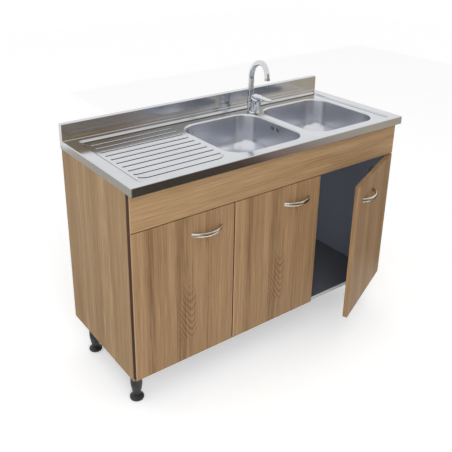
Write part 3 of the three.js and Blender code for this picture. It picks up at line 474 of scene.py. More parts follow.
def pressed_steel(tone, roughness):
    """The top's steel: fine lines along it, a back bevel painted near white as a highlight, and
    painted shade at the recess's foot.
    """
    finish = Finish("pressed_steel", Metallic=1.0)
    place = finish.place()
    lines = finish.noise(place, (POLISH_ALONG, POLISH_ACROSS, POLISH_ACROSS), 3)
    clouds = finish.noise(place, (7, 7, 7), 2)
    across = finish.axis(place, "X")
    back = finish.axis(place, "Y")
    left_foot = top_low.x + RIM_SIDE + RECESS_SLOPE
    front_foot = top_low.y + RIM_FRONT + RECESS_SLOPE
    bevel_low = top_high.y - UPSTAND_DEPTH - RIM_BACK
    sides = across.above(left_foot - RECESS_SLOPE / 2) * across.below(-left_foot)
    near_left = across.above(left_foot) * (1 - (across - left_foot).ease(*FOOT_SHADE_LEFT))
    near_left = near_left * back.above(front_foot) * back.below(bevel_low)
    near_back = 1 - abs(back - bevel_low + BEVEL_FOOT / 2).ease(*FOOT_SHADE_BACK)
    # painted shade along the foot of the recess step at the left and along the foot of the back bevel
    painted_foot_shade = 0.9 * near_left + 0.85 * near_back * sides
    # painted highlight: the sloped back bevel is painted near white, as if it caught the light
    bevel = back.above(bevel_low) * back.below(bevel_low + BEVEL_WIDTH) * sides
    steel = finish.mix(bevel, finish.clouded(clouds, tone, 0.95), srgb(240, 240, 238))
    upright = finish.axis(place, "Z").above(RIM_PLANE + COVE_RADIUS)
    # painted shade: the steel turns a dark brown grey, and rougher, at the recess's foot
    finish.set("Base Color", finish.mix(painted_foot_shade, steel, srgb(88, 80, 70)))
    finish.set("Roughness", roughness - 0.03 + 0.04 * lines + 0.03 * clouds + 0.2 * painted_foot_shade
               + 0.04 * upright)
    finish.set("Normal", finish.bump(lines, 0.05, 0.00001))
    return finish.material


def satin_bowl(name, tone, roughness):
    """Evenly blasted steel without a direction."""
    finish = Finish(name, Metallic=1.0)
    place = finish.place()
    grain = finish.noise(place, (700, 700, 700), 2)
    clouds = finish.noise(place, (5, 5, 5), 1)
    finish.set("Base Color", finish.clouded(clouds, tone, 0.95))
    finish.set("Roughness", roughness + 0.03 * (grain - 0.5))
    return finish.material


def rib_steel_painted_flank_shade():
    """Bright along the crown of a rib, with painted shade on its flanks: darker and rougher where the
    rib tilts.
    """
    finish = Finish("rib_steel_painted_flank_shade", Metallic=1.0)
    normal = finish.node("ShaderNodeNewGeometry", output="Normal")
    flat = abs(finish.axis(normal, "Z"))
    grain = finish.noise(finish.place(), (POLISH_ALONG, POLISH_ACROSS, POLISH_ACROSS), 2)
    crown = flat.ease(0.72, 0.96)
    # painted shade: dark grey on the rib's sloping flanks, pale steel on its flat crown
    finish.set("Base Color", finish.mix(crown, srgb(92, 93, 98), srgb(214, 216, 220)))
    finish.set("Roughness", 0.32 - 0.14 * crown + 0.05 * grain)
    return finish.material


def polished_chrome():
    finish = Finish("polished_chrome", Metallic=1.0)
    place = finish.place()
    smears = finish.noise(place, (60, 60, 60), 3)
    finish.set("Base Color", finish.mix(smears, srgb(204, 206, 211), srgb(216, 218, 222)))
    finish.set("Roughness", 0.02 + 0.04 * smears)
    return finish.material


def oak_decor(name, origin=(0, 0, 0), turn=(0, 0, 0), bands=None, flame=None, lift=0.0,
              dark_edge=None, seed=0.0, lining=None):
    """Printed oak with its grain along the board's Z.

    origin and turn place the board. bands are (place across, tone) stops, flame is the middle
    and foot of the arched figure, lift makes the whole print paler, dark_edge is the axis at
    whose zero the board has brown edging with a painted highlight beside it, and lining the
    (low, high) depths lined with slate.
    """
    finish = Finish(name, Specular_IOR_Level=0.3)
    place = finish.place(origin, turn)
    across = finish.axis(place, "X")
    along = finish.axis(place, "Z")
    shifted = finish.node("ShaderNodeVectorMath", {"operation": "ADD"},
                          {0: place, 1: (seed, seed, seed)})
    broad = finish.noise(shifted, (34, 34, 0.8), 2)
    veins = finish.noise(shifted, (130, 130, 2.2), 3, 0.6, 0.3)
    streaks = finish.noise(shifted, (330, 330, 7), 2, 0.6)
    fibres = finish.noise(shifted, (900, 900, 14), 3, 0.6)
    pores = finish.noise(shifted, (1300, 1300, 50), 1).ease(0.62, 0.72)
    tone = 0.55 + lift + 0.45 * (broad - 0.5) + 0.65 * (veins - 0.5) + 0.28 * (fibres - 0.5)
    tone = tone + 0.75 * (streaks - 0.5) - 0.1 * pores
    if bands:
        first, last = bands[0][0], bands[-1][0]
        share = (across - first) / (last - first)
        stops = [((at - first) / (last - first), grey(shade)) for at, shade in bands]
        tone = tone + (finish.ramp(share, stops) - 0.5)
    if flame:
        middle, foot = flame
        sideways = across - middle
        wander = 0.05 * finish.noise(shifted, (22, 22, 5), 2)
        bow = FLAME_BLUNTNESS * (sideways * sideways + FLAME_TIP * FLAME_TIP).root()
        arch = along - foot - bow + wander
        rings = (arch * (2 * math.pi / FLAME_RING)).sine()
        inside = (sideways + FLAME_REACH).ease(0, 0.03) * (1 - sideways.ease(0.012, 0.04))
        low = (along - foot).ease(-0.02, 0.02) * (1 - (along - foot).ease(0.1, FLAME_HEIGHT))
        tone = tone - inside * low * (FLAME_SHADE + FLAME_RING_SHADE * rings)
    colour = finish.ramp(tone, OAK_TONES)
    if dark_edge:
        edge = finish.axis(place, dark_edge)
        # painted highlight: a paler oak line on the face beside the dark edge
        colour = finish.mix(edge.below(EDGE_HIGHLIGHT_WIDTH) * 0.5, colour, srgb(178, 152, 120))
        colour = finish.mix(edge.below(EDGING_DEPTH), colour, srgb(66, 38, 26))
    if lining:
        depth = finish.axis(place, "Y")
        lined = depth.above(lining[0]) * depth.below(lining[1])
        colour = finish.mix(lined, colour, SLATE)
    finish.set("Base Color", colour)
    finish.set("Roughness", 0.5 + 0.12 * fibres)
    finish.set("Normal", finish.bump(fibres - pores, 0.25, 0.00008))
    return finish.material


def slate_decor():
    """The dark lining of the cabinet's inside."""
    finish = Finish("slate_lining")
    place = finish.place()
    speckle = finish.noise(place, (900, 900, 900), 2)
    clouds = finish.noise(place, (6, 6, 3), 3)
    finish.set("Base Color", finish.mix(clouds.ease(0.3, 0.7), SLATE_SHADE, SLATE))
    finish.set("Roughness", 0.42 + 0.15 * speckle)
    finish.set("Normal", finish.bump(speckle, 0.15, 0.00005))
    return finish.material


def floor_decor():
    """Slate decor with the bare light edge of the cabinet's floor at its front."""
    finish = Finish("floor_decor")
    place = finish.place()
    speckle = finish.noise(place, (900, 900, 900), 2)
    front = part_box("floor_panel")[0].y + EDGING_DEPTH
    edge = finish.axis(place, "Y").below(front)
    dark = finish.mix(speckle, srgb(96, 98, 106), srgb(108, 110, 118))
    finish.set("Base Color", finish.mix(edge, dark, srgb(182, 184, 188)))
    finish.set("Roughness", 0.42 + 0.15 * speckle)
    return finish.material


def hardboard():
    """Slate decor inside and bare brown fibres on the outside of the back."""
    finish = Finish("hardboard")
    place = finish.place()
    speckle = finish.noise(place, (1100, 1100, 1100), 3)
    blotches = finish.noise(place, (14, 14, 14), 3)
    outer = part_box("back_panel")[1].y - EDGING_DEPTH
    brown = finish.mix(0.5 * speckle + 0.5 * blotches, srgb(112, 84, 60), srgb(146, 114, 84))
    inside = finish.mix(blotches.ease(0.3, 0.7), srgb(104, 108, 124), srgb(118, 122, 138))
    rear = finish.axis(place, "Y").above(outer)
    finish.set("Base Color", finish.mix(rear, inside, brown))
    finish.set("Roughness", 0.45 + 0.2 * speckle)
    finish.set("Normal", finish.bump(speckle, 0.2, 0.0001))
    return finish.material


def chipboard():
    finish = Finish("chipboard")
    place = finish.place()
    chips = finish.node("ShaderNodeTexVoronoi", {}, {"Vector": place, "Scale": 260.0}, "Color")
    shade = finish.axis(chips, "X")
    finish.set("Base Color", finish.ramp(shade, [
        (0.0, srgb(122, 98, 68)), (0.5, srgb(160, 136, 102)), (1.0, srgb(190, 168, 132))]))
    finish.set("Roughness", 0.75 + 0.15 * shade)
    finish.set("Normal", finish.bump(shade, 0.4, 0.0004))
    return finish.material


def plastic(name, tone, roughness, grain):
    """Moulded plastic; grain is the depth of its texture in metres."""
    finish = Finish(name)
    place = finish.place()
    texture = finish.noise(place, (1600, 1600, 1600), 2)
    clouds = finish.noise(place, (18, 18, 18), 2)
    finish.set("Base Color", finish.clouded(clouds, srgb(*tone), 0.85, 0.3, 0.7))
    finish.set("Roughness", roughness + 0.12 * (texture - 0.5))
    finish.set("Normal", finish.bump(texture, 0.3, grain))
    return finish.material


def cast_brass():
    finish = Finish("cast_brass", Metallic=1.0)
    place = finish.place()
    tarnish = finish.noise(place, (160, 160, 160), 3)
    finish.set("Base Color", finish.mix(tarnish, srgb(176, 140, 78), srgb(214, 184, 118)))
    finish.set("Roughness", 0.28 + 0.15 * tarnish)
    return finish.material


# --- mesh helpers ---

def shaded(bm, sharp=35):
    """Smooth faces, with every edge sharper than the angle kept crisp."""
    limit = math.radians(sharp)
    for face in bm.faces:
        face.smooth = True
    for edge in bm.edges:
        edge.smooth = len(edge.link_faces) == 2 and edge.calc_face_angle(0) < limit


def as_mesh(name, bm):
    """Mesh data from a bmesh, which is freed."""
    mesh = bpy.data.meshes.new(name)
    bm.to_mesh(mesh)
    bm.free()
    return mesh


def in_scene(name, data):
    """A new object in the scene that shows the data."""
    made = bpy.data.objects.new(name, data)
    bpy.context.scene.collection.objects.link(made)
    return made


def piece(name, bm, finish, *replaced, slot, body=None):
    """Makes the mesh a piece that stands for CAD nodes and moves with their body."""
    shaded(bm)
    made = in_scene(name, as_mesh(name, bm))
    made.data.materials.append(finish)
    weighted = made.modifiers.new("even_shading", "WEIGHTED_NORMAL")
    weighted.keep_sharp = True
    if replaced:
        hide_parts(*replaced)
    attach(made, body or nodes[replaced[0]]["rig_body"])
    return made


def rounded(bm, geometry, radius, segments, affect="EDGES", clamp=False):
    """Rounds edges or corners off."""
    bmesh.ops.bevel(bm, geom=geometry, offset=radius, segments=segments, profile=0.5,
                    affect=affect, material=-1, offset_type="OFFSET", clamp_overlap=clamp)


def extruded(bm, face, reach):
    """Makes a flat face a solid that reaches along a vector."""
    grown = bmesh.ops.extrude_face_region(bm, geom=[face])
    far = [part for part in grown["geom"] if isinstance(part, bmesh.types.BMVert)]
    bmesh.ops.translate(bm, vec=reach, verts=far)
    bmesh.ops.recalc_face_normals(bm, faces=bm.faces)


def sliced(bm, point, normal, closed=True):
    """Cuts away what a plane's normal points at, and closes the cut."""
    cut = bmesh.ops.bisect_plane(bm, geom=bm.verts[:] + bm.edges[:] + bm.faces[:],
                                 plane_co=point, plane_no=normal, clear_outer=True)
    if closed:
        rim = [part for part in cut["geom_cut"] if isinstance(part, bmesh.types.BMEdge)]
        bmesh.ops.holes_fill(bm, edges=rim, sides=0)


def seen_from_above(node, z):
    """The middle of a CAD node's outline from above, at a height."""
    low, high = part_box(node)
    return Vector(((low.x + high.x) / 2, (low.y + high.y) / 2, z))


def loop_edges(verts):
    return list({edge for vert in verts for edge in vert.link_edges})


def rounded_loop(bm, half_x, half_y, radius, centre, steps=ROUND_STEPS):
    """A closed loop of edges round a rectangle with round corners, lying flat."""
    start = Matrix.Rotation(math.pi / steps, 4, "Z")
    verts = bmesh.ops.create_circle(bm, segments=steps, radius=radius, matrix=start)["verts"]
    for vert in verts:
        vert.co.x += math.copysign(half_x - radius, vert.co.x)
        vert.co.y += math.copysign(half_y - radius, vert.co.y)
        vert.co += centre
    return loop_edges(verts)


def loft(bm, loops):
    """Faces between each loop and the next."""
    for first, second in zip(loops, loops[1:]):
        bmesh.ops.bridge_loops(bm, edges=first + second)


def face_upwards(bm):
    """Turns a sheet so that most of its area looks up."""
    bmesh.ops.recalc_face_normals(bm, faces=bm.faces)
    bm.normal_update()
    if sum(face.normal.z * face.calc_area() for face in bm.faces) < 0:
        bmesh.ops.reverse_faces(bm, faces=bm.faces)


def cross_section(bm, points, segments=5):
    """A flat face in XZ from (x, z, fillet) points. Returns its face."""
    verts = [bm.verts.new((x, 0, z)) for x, z, fillet in points]
    bm.faces.new(verts)
    for vert, (x, z, fillet) in zip(verts, points):
        if fillet:
            rounded(bm, [vert], fillet, segments, "VERTICES")
    bm.faces.ensure_lookup_table()
    return bm.faces[-1]


def turned(points, steps=64, segments=5):
    """A solid of revolution about Z from (radius, z, fillet) points, closed round its section."""
    bm = bmesh.new()
    section = cross_section(bm, points, segments)
    bmesh.ops.delete(bm, geom=[section], context="FACES_ONLY")
    on_axis = [edge for edge in bm.edges if all(abs(vert.co.x) < 1e-7 for vert in edge.verts)]
    bmesh.ops.delete(bm, geom=on_axis, context="EDGES")
    geometry = bm.verts[:] + bm.edges[:]
    bmesh.ops.spin(bm, geom=geometry, cent=(0, 0, 0), axis=(0, 0, 1), dvec=(0, 0, 0),
                   angle=2 * math.pi, steps=steps, use_merge=True)
    bmesh.ops.remove_doubles(bm, verts=bm.verts, dist=1e-6)
    bmesh.ops.recalc_face_normals(bm, faces=bm.faces)
    return bm


def move(bm, matrix):
    bmesh.ops.transform(bm, matrix=matrix, verts=bm.verts)
    return bm


def merged(first, *others):
    """One mesh of several, each a shell of its own."""
    for other in others:
        mesh = as_mesh("part", other)
        first.from_mesh(mesh)
        bpy.data.meshes.remove(mesh)
    return first


def tube(points, radii, sides, capped=True):
    """A tube along points, with a radius at each."""
    curve = bpy.data.curves.new("path", "CURVE")
    curve.dimensions = "3D"
    curve.bevel_depth = 1.0
    curve.bevel_resolution = sides // 4 - 1
    curve.use_fill_caps = capped
    spline = curve.splines.new("POLY")
    spline.points.add(len(points) - 1)
    for point, place, radius in zip(spline.points, points, radii):
        point.co = (*place, 1.0)
        point.radius = radius
    holder = in_scene("path", curve)
    mesh = bpy.data.meshes.new_from_object(holder.evaluated_get(
        bpy.context.evaluated_depsgraph_get()))
    bm = bmesh.new()
    bm.from_mesh(mesh)
    bpy.data.objects.remove(holder)
    bpy.data.curves.remove(curve)
    bpy.data.meshes.remove(mesh)
    bmesh.ops.remove_doubles(bm, verts=bm.verts, dist=1e-6)
    bmesh.ops.recalc_face_normals(bm, faces=bm.faces)
    return bm


def slab(low, high, radius, segments=3):
    """A box between two corners with rounded edges."""
    bm = bmesh.new()
    size = [b - a for a, b in zip(low, high)]
    middle = [(a + b) / 2 for a, b in zip(low, high)]
    matrix = Matrix.Translation(middle) @ Matrix.Diagonal((*size, 1.0))
    bmesh.ops.create_cube(bm, size=1.0, matrix=matrix)
    rounded(bm, bm.edges[:], radius, segments)
    return bm


def softened(node, width, segments=2):
    """A copy of a CAD node's mesh, merged, with its sharp edges rounded."""
    bm = bmesh.new()
    bm.from_mesh(nodes[node].data)
    bmesh.ops.remove_doubles(bm, verts=bm.verts, dist=1e-6)
    bmesh.ops.dissolve_limit(bm, angle_limit=math.radians(0.5), verts=bm.verts, edges=bm.edges)
    limit = math.radians(30)
    edges = [edge for edge in bm.edges if edge.calc_face_angle(0) > limit]
    rounded(bm, edges, width, segments, clamp=True)
    return bm


# --- steel top ---

def rim_step(share):
    """Inset, depth and growth at the back of the recess step, from 0 at its top to 1 at its foot."""
    fall = (1 - math.cos(math.pi * share)) / 2
    if fall < BEVEL_SHARE:
        growth = BEVEL_WIDTH * (1 - fall / BEVEL_SHARE)
    else:
        growth = -BEVEL_FOOT * (fall - BEVEL_SHARE) / (1 - BEVEL_SHARE)
    return RECESS_SLOPE * share, RECESS_DEPTH * fall, growth


def bowl_frame(name):
    """Middle and half sizes of a bowl's rim."""
    low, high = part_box(f"bowl_{name}")
    middle = (low + high) / 2
    return middle, (high.x - low.x) / 2 - BOWL_FLANGE, (high.y - low.y) / 2 - BOWL_FLANGE


def top_tray():
    """The pressed sheet: aprons, flat rim and sunken floor with its openings."""
    bm = bmesh.new()
    half_x = (top_high.x - top_low.x) / 2
    half_y = (top_high.y - top_low.y) / 2
    middle = (top_high + top_low) / 2
    loops = []
    for inset, z in [(SHEET, top_low.z), (0, top_low.z), (0, RIM_PLANE - EDGE_RADIUS)]:
        loops.append(rounded_loop(bm, half_x - inset, half_y - inset, EDGE_RADIUS - inset,
                                  Vector((middle.x, middle.y, z))))
    for degrees in (22.5, 45, 67.5, 90):
        angle = math.radians(degrees)
        inset = EDGE_RADIUS * (1 - math.cos(angle)) * EDGE_FLATNESS
        z = RIM_PLANE - EDGE_RADIUS * (1 - math.sin(angle))
        loops.append(rounded_loop(bm, half_x - inset, half_y - inset, EDGE_RADIUS - inset,
                                  Vector((middle.x, middle.y, z))))
    front = top_low.y + RIM_FRONT
    back = top_high.y - UPSTAND_DEPTH - RIM_BACK
    for step in range(RECESS_LOOPS + 1):
        inset, depth, growth = rim_step(step / RECESS_LOOPS)
        low_y, high_y = front + inset, back + growth
        loops.append(rounded_loop(bm, half_x - RIM_SIDE - inset, (high_y - low_y) / 2,
                                  RECESS_RADIUS - inset,
                                  Vector((middle.x, (low_y + high_y) / 2, RIM_PLANE - depth))))
    loft(bm, loops)
    openings = []
    for name in ("left", "right"):
        centre, bowl_x, bowl_y = bowl_frame(name)
        openings += rounded_loop(bm, bowl_x, bowl_y, BOWL_CORNER,
                                 Vector((centre.x, centre.y, RECESS_FLOOR)))
    bmesh.ops.triangle_fill(bm, use_beauty=True, edges=loops[-1] + openings)
    face_upwards(bm)
    bmesh.ops.solidify(bm, geom=bm.faces[:], thickness=SHEET)
    return bm


def upstand():
    """The upright strip along the back, with its cove and the back apron."""
    front = top_high.y - UPSTAND_DEPTH
    cove = front - COVE_RADIUS
    back = top_high.y + UPSTAND_PROUD
    top = top_high.z
    bm = bmesh.new()
    corner = UPSTAND_DEPTH / 12
    section = cross_section(bm, [
        (cove, RIM_PLANE - SHEET, 0), (cove, RIM_PLANE, 0), (front, RIM_PLANE, COVE_RADIUS * 0.999),
        (front, top, corner), (back, top, corner), (back, top_low.z - UPSTAND_PROUD, 0),
        (cove, top_low.z - UPSTAND_PROUD, 0)], 10)
    quarter = Matrix.Rotation(math.radians(90), 4, "Z")
    bmesh.ops.transform(bm, matrix=quarter, verts=bm.verts)
    half = top_high.x + UPSTAND_PROUD
    bmesh.ops.translate(bm, vec=(-half, 0, 0), verts=bm.verts)
    extruded(bm, section, (2 * half, 0, 0))
    ends = [edge for edge in bm.edges
            if all(abs(abs(vert.co.x) - half) < 1e-6 for vert in edge.verts)]
    rounded(bm, ends, EDGE_RADIUS / 3, 2, clamp=True)
    return bm


def rib_path(left, right, curl_left, curl_right):
    """Points of a rib from end to end, with each end curling back through its angle."""
    points = []
    for degrees, x, side in ((curl_left, left, -1), (curl_right, right, 1)):
        turn = math.radians(degrees)
        foot = x - side * RIB_CURL_RADIUS * math.sin(turn)
        steps = range(max(1, degrees // 5) + 1)
        arc = [turn * step / steps[-1] for step in steps] if degrees else [0]
        end = [(foot + side * RIB_CURL_RADIUS * math.sin(angle),
                RIB_CURL_RADIUS * (1 - math.cos(angle))) for angle in arc]
        points = end[::-1] if side < 0 else points + end
    return [Vector((x, y, 0)) for x, y in points]


def rounded_ends(points, radius, steps=4):
    """The path with its ends drawn out and the radius falling to nothing there."""
    start = (points[0] - points[1]).normalized()
    end = (points[-1] - points[-2]).normalized()
    shares = [math.cos(math.pi / 2 * step / steps) for step in range(steps)]
    before = [points[0] + start * radius * (share - 1) for share in shares]
    after = [points[-1] + end * radius * (share - 1) for share in shares[::-1]]
    falls = [radius * math.sin(math.acos(share)) for share in shares]
    falls[0] = radius * 0.05
    path = before + points[1:-1] + after
    radii = falls + [radius] * (len(points) - 2) + falls[::-1]
    return path, radii


def drainer_ribs():
    """The raised bars of the drainer, the upper half of flat oval rods."""
    bowl_middle, bowl_x, _ = bowl_frame("left")
    left = top_low.x + RIM_SIDE + RIB_MARGIN
    right = bowl_middle.x - bowl_x - RIB_TO_BOWL
    bars = bmesh.new()
    for count in range(RIB_COUNT):
        curls = RIB_CURLS[count] if count < len(RIB_CURLS) else (0, 0)
        path, radii = rounded_ends(rib_path(left, right, *curls), RIB_WIDTH / 2)
        bar = tube(path, radii, 16)
        flat = Matrix.Diagonal((1, 1, 2 * RIB_HEIGHT / RIB_WIDTH, 1))
        place = Matrix.Translation((0, top_low.y + RIB_FRONT + count * RIB_PITCH, RECESS_FLOOR))
        move(bar, place @ flat)
        merged(bars, bar)
    sliced(bars, (0, 0, RECESS_FLOOR - SHEET / 2), (0, 0, -1))
    bmesh.ops.recalc_face_normals(bars, faces=bars.faces)
    return bars


def make_top(steel, rib_finish):
    piece("top_sheet", merged(top_tray(), upstand()), steel, "worktop", slot="satin_steel")
    piece("drainer_bars", drainer_ribs(), rib_finish, slot="satin_steel",
          body=nodes["worktop"]["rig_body"])


# --- bowls ---

def bowl_loops(bm, centre, half_x, half_y):
    """Loops of a bowl's inner face, from the rim down to the drain."""
    stations = []
    for step in range(7):
        angle = math.radians(15 * step)
        stations.append((BOWL_LIP * math.sin(angle), BOWL_LIP * (1 - math.cos(angle))))
    wall = BOWL_LIP + BOWL_DRAFT
    straight = BOWL_DEPTH - FLOOR_FILLET
    for share in WALL_STATIONS:
        stations.append((BOWL_LIP + BOWL_DRAFT * share,
                         BOWL_LIP + (straight - BOWL_LIP) * share))
    for step in range(1, 13):
        angle = math.radians(7.5 * step)
        stations.append((wall + FLOOR_FILLET * (1 - math.cos(angle)),
                         straight + FLOOR_FILLET * math.sin(angle)))
    loops = []
    for inset, depth in stations:
        loops.append(rounded_loop(bm, half_x - inset, half_y - inset,
                                  BOWL_CORNER - BOWL_CORNER_FALL * inset,
                                  centre - Vector((0, 0, depth))))
    floor = BOWL_DEPTH + FLOOR_FALL
    seat = [(SEAT_RADIUS + DISH_WIDTH, floor - DISH_RISE), (SEAT_RADIUS + SEAT_SLOPE, floor)]
    for step in range(6):
        share = step / 5
        seat.append((SEAT_RADIUS + SEAT_EDGE - SEAT_SLOPE * share,
                     floor + SEAT_DEPTH * (1 - math.cos(math.pi * share)) / 2))
    floor += SEAT_DEPTH
    seat += [(DRAIN_RADIUS + SEAT_EDGE, floor), (DRAIN_RADIUS, floor + SEAT_EDGE)]
    for radius, depth in seat:
        loops.append(rounded_loop(bm, radius, radius, radius, centre - Vector((0, 0, depth))))
    return loops


def overflow_cutters(centre, half_x, side):
    """The slots that let water out below the rim, as solids."""
    slots = bmesh.new()
    for count in range(SLOT_COUNT // 2):
        away = SLOT_CENTRE_GAP / 2 + SLOT_WIDTH / 2 + count * SLOT_PITCH
        for offset in (-away, away):
            middle = centre + Vector((side * half_x, OVERFLOW_BACK + offset, -OVERFLOW_DROP))
            reach = Vector((2 * (BOWL_LIP + BOWL_DRAFT), SLOT_WIDTH / 2, SLOT_HEIGHT / 2))
            merged(slots, slab(middle - reach, middle + reach, SLOT_WIDTH / 2.2, 3))
    return slots


def carve(target, bm):
    """Cuts the solids out of a piece for good."""
    mesh = as_mesh("cutter", bm)
    cutter = in_scene("cutter", mesh)
    knife = target.modifiers.new("knife", "BOOLEAN")
    knife.object = cutter
    knife.operation = "DIFFERENCE"
    knife.solver = "EXACT"
    target.modifiers.move(len(target.modifiers) - 1, 0)
    depsgraph = bpy.context.evaluated_depsgraph_get()
    target.modifiers["even_shading"].show_viewport = False
    depsgraph.update()
    carved = bpy.data.meshes.new_from_object(target.evaluated_get(depsgraph))
    target.modifiers["even_shading"].show_viewport = True
    target.modifiers.remove(knife)
    target.data = carved
    bpy.data.objects.remove(cutter)
    bpy.data.meshes.remove(mesh)


def make_bowls(steel):
    for name, side in (("left", 1), ("right", -1)):
        middle, half_x, half_y = bowl_frame(name)
        centre = Vector((middle.x, middle.y, RECESS_FLOOR))
        bm = bmesh.new()
        loft(bm, bowl_loops(bm, centre, half_x, half_y))
        face_upwards(bm)
        bmesh.ops.solidify(bm, geom=bm.faces[:], thickness=SHEET)
        made = piece(f"bowl_{name}_basin", bm, steel, f"bowl_{name}", slot="satin_steel")
        carve(made, overflow_cutters(centre, half_x, side))


# --- strainers ---

def strainer_seat(name):
    """The middle of a strainer, level with the underside of its flange."""
    node = f"strainer_body_{name}"
    return seen_from_above(node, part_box(node)[1].z - STRAINER_WALL)


def ring_of_rods(count, radius, offset, hole, low, high):
    """Upright rods spaced evenly round Z, the first offset by a share of their spacing."""
    rods = bmesh.new()
    for step in range(count):
        angle = 2 * math.pi * (step + offset) / count
        place = Matrix.Translation((radius * math.cos(angle), radius * math.sin(angle),
                                    (low + high) / 2))
        bmesh.ops.create_cone(rods, cap_ends=True, segments=12, radius1=hole, radius2=hole,
                              depth=high - low, matrix=place)
    return rods


def wall_slots(count, low, high):
    """Upright slots through the wall of a basket, as solids."""
    slots = bmesh.new()
    half = BASKET_HOLE * 0.8
    for step in range(count):
        bar = slab((BASKET_FOOT - 0.006, -half, low), (BASKET_RIM - 0.0006, half, high), half * 0.95)
        turn = Matrix.Rotation(2 * math.pi * step / count, 4, "Z")
        merged(slots, move(bar, turn))
    return slots


def make_strainers(steel, nut_plastic):
    inner = STRAINER_CUP - STRAINER_WALL
    shoulder = -STRAINER_DEPTH
    tail = shoulder - TAIL_LENGTH
    bore = TAIL_RADIUS - STRAINER_WALL
    body = [
        (STRAINER_FLANGE, 0, 0.0003), (STRAINER_FLANGE - 0.0012, STRAINER_WALL, 0.0008),
        (inner, STRAINER_WALL, 0.0009), (inner, shoulder + STRAINER_WALL, 0.003),
        (bore, shoulder, 0.0006), (bore, tail, 0.0003), (TAIL_RADIUS, tail, 0.0003),
        (TAIL_RADIUS, shoulder - STRAINER_WALL, 0.002), (STRAINER_CUP, shoulder, 0.003),
        (STRAINER_CUP, 0, 0.0004)]
    knob_low = BASKET_RIM_LOW - KNOB_RISE
    knob_high = BASKET_RIM_LOW + KNOB_RISE
    basket = [
        (0, BASKET_LOW, 0), (BASKET_FOOT, BASKET_LOW, 0.003), (BASKET_TOP, BASKET_RIM_LOW, 0.0005),
        (BASKET_RIM, BASKET_RIM_LOW, 0.0004), (BASKET_RIM, BASKET_RIM_LOW + SHEET, 0.0004),
        (BASKET_TOP - SHEET, BASKET_RIM_LOW + SHEET, 0.0015),
        (BASKET_FOOT - SHEET, BASKET_LOW + SHEET, 0.002),
        (KNOB_RADIUS / 2, BASKET_LOW + SHEET, 0.002), (KNOB_RADIUS / 2, knob_low, 0.001),
        (KNOB_RADIUS, knob_low + KNOB_EDGE, 0.0015), (KNOB_RADIUS, knob_high - KNOB_EDGE, 0.0015),
        (0, knob_high, 0)]
    for name in ("left", "right"):
        seat = Matrix.Translation(strainer_seat(name))
        piece(f"strainer_{name}_cup", move(turned(body), seat), steel, f"strainer_body_{name}",
              slot="satin_steel")
        made = piece(f"strainer_{name}_basket", move(turned(basket, 96), seat), steel,
                     f"strainer_basket_{name}", slot="satin_steel")
        rings = [ring_of_rods(*ring, BASKET_HOLE, BASKET_LOW - BASKET_CUT, BASKET_LOW + BASKET_CUT)
                 for ring in BASKET_RINGS]
        holes = merged(*rings, wall_slots(BASKET_SLOTS, BASKET_LOW + SLOT_FOOT,
                                          BASKET_RIM_LOW - BASKET_CUT))
        carve(made, move(holes, seat))
        piece(f"strainer_{name}_nut", softened(f"strainer_nut_{name}", 0.0008), nut_plastic,
              f"strainer_nut_{name}", slot="white_plastic")


# --- waste ---

def fluted_nut(inner, outer, height, flutes=16):
    """A ring with upright flutes, standing on the XY plane."""
    bm = bmesh.new()
    outline = [(outer - NUT_CHAMFER, 0), (outer, NUT_CHAMFER), (outer, height - NUT_CHAMFER),
               (outer - NUT_CHAMFER, height), (inner, height), (inner, 0)]
    loops = []
    for radius, z in outline:
        verts = bmesh.ops.create_circle(bm, segments=flutes * FLUTE_STEPS, radius=radius,
                                        matrix=Matrix.Translation((0, 0, z)))["verts"]
        for step, vert in enumerate(verts):
            if radius > inner and step % FLUTE_STEPS in (0, FLUTE_STEPS - 1):
                vert.co.x *= 1 - FLUTE_DEPTH
                vert.co.y *= 1 - FLUTE_DEPTH
        loops.append(loop_edges(verts))
    loft(bm, loops + [loops[0]])
    bmesh.ops.recalc_face_normals(bm, faces=bm.faces)
    return bm


def waste_path(start, side, reach):
    """Down from a strainer's tail, round a bend and along to the trap."""
    points = [start + Vector((0, 0, TAIL_RADIUS))]
    corner = start - Vector((0, 0, PIPE_DROP))
    bend = corner + Vector((side * PIPE_BEND, 0, PIPE_BEND))
    for step in range(13):
        angle = math.radians(7.5 * step)
        points.append(bend + PIPE_BEND * Vector((-side * math.cos(angle), 0, -math.sin(angle))))
    points.append(corner + Vector((side * reach, 0, 0)))
    return points


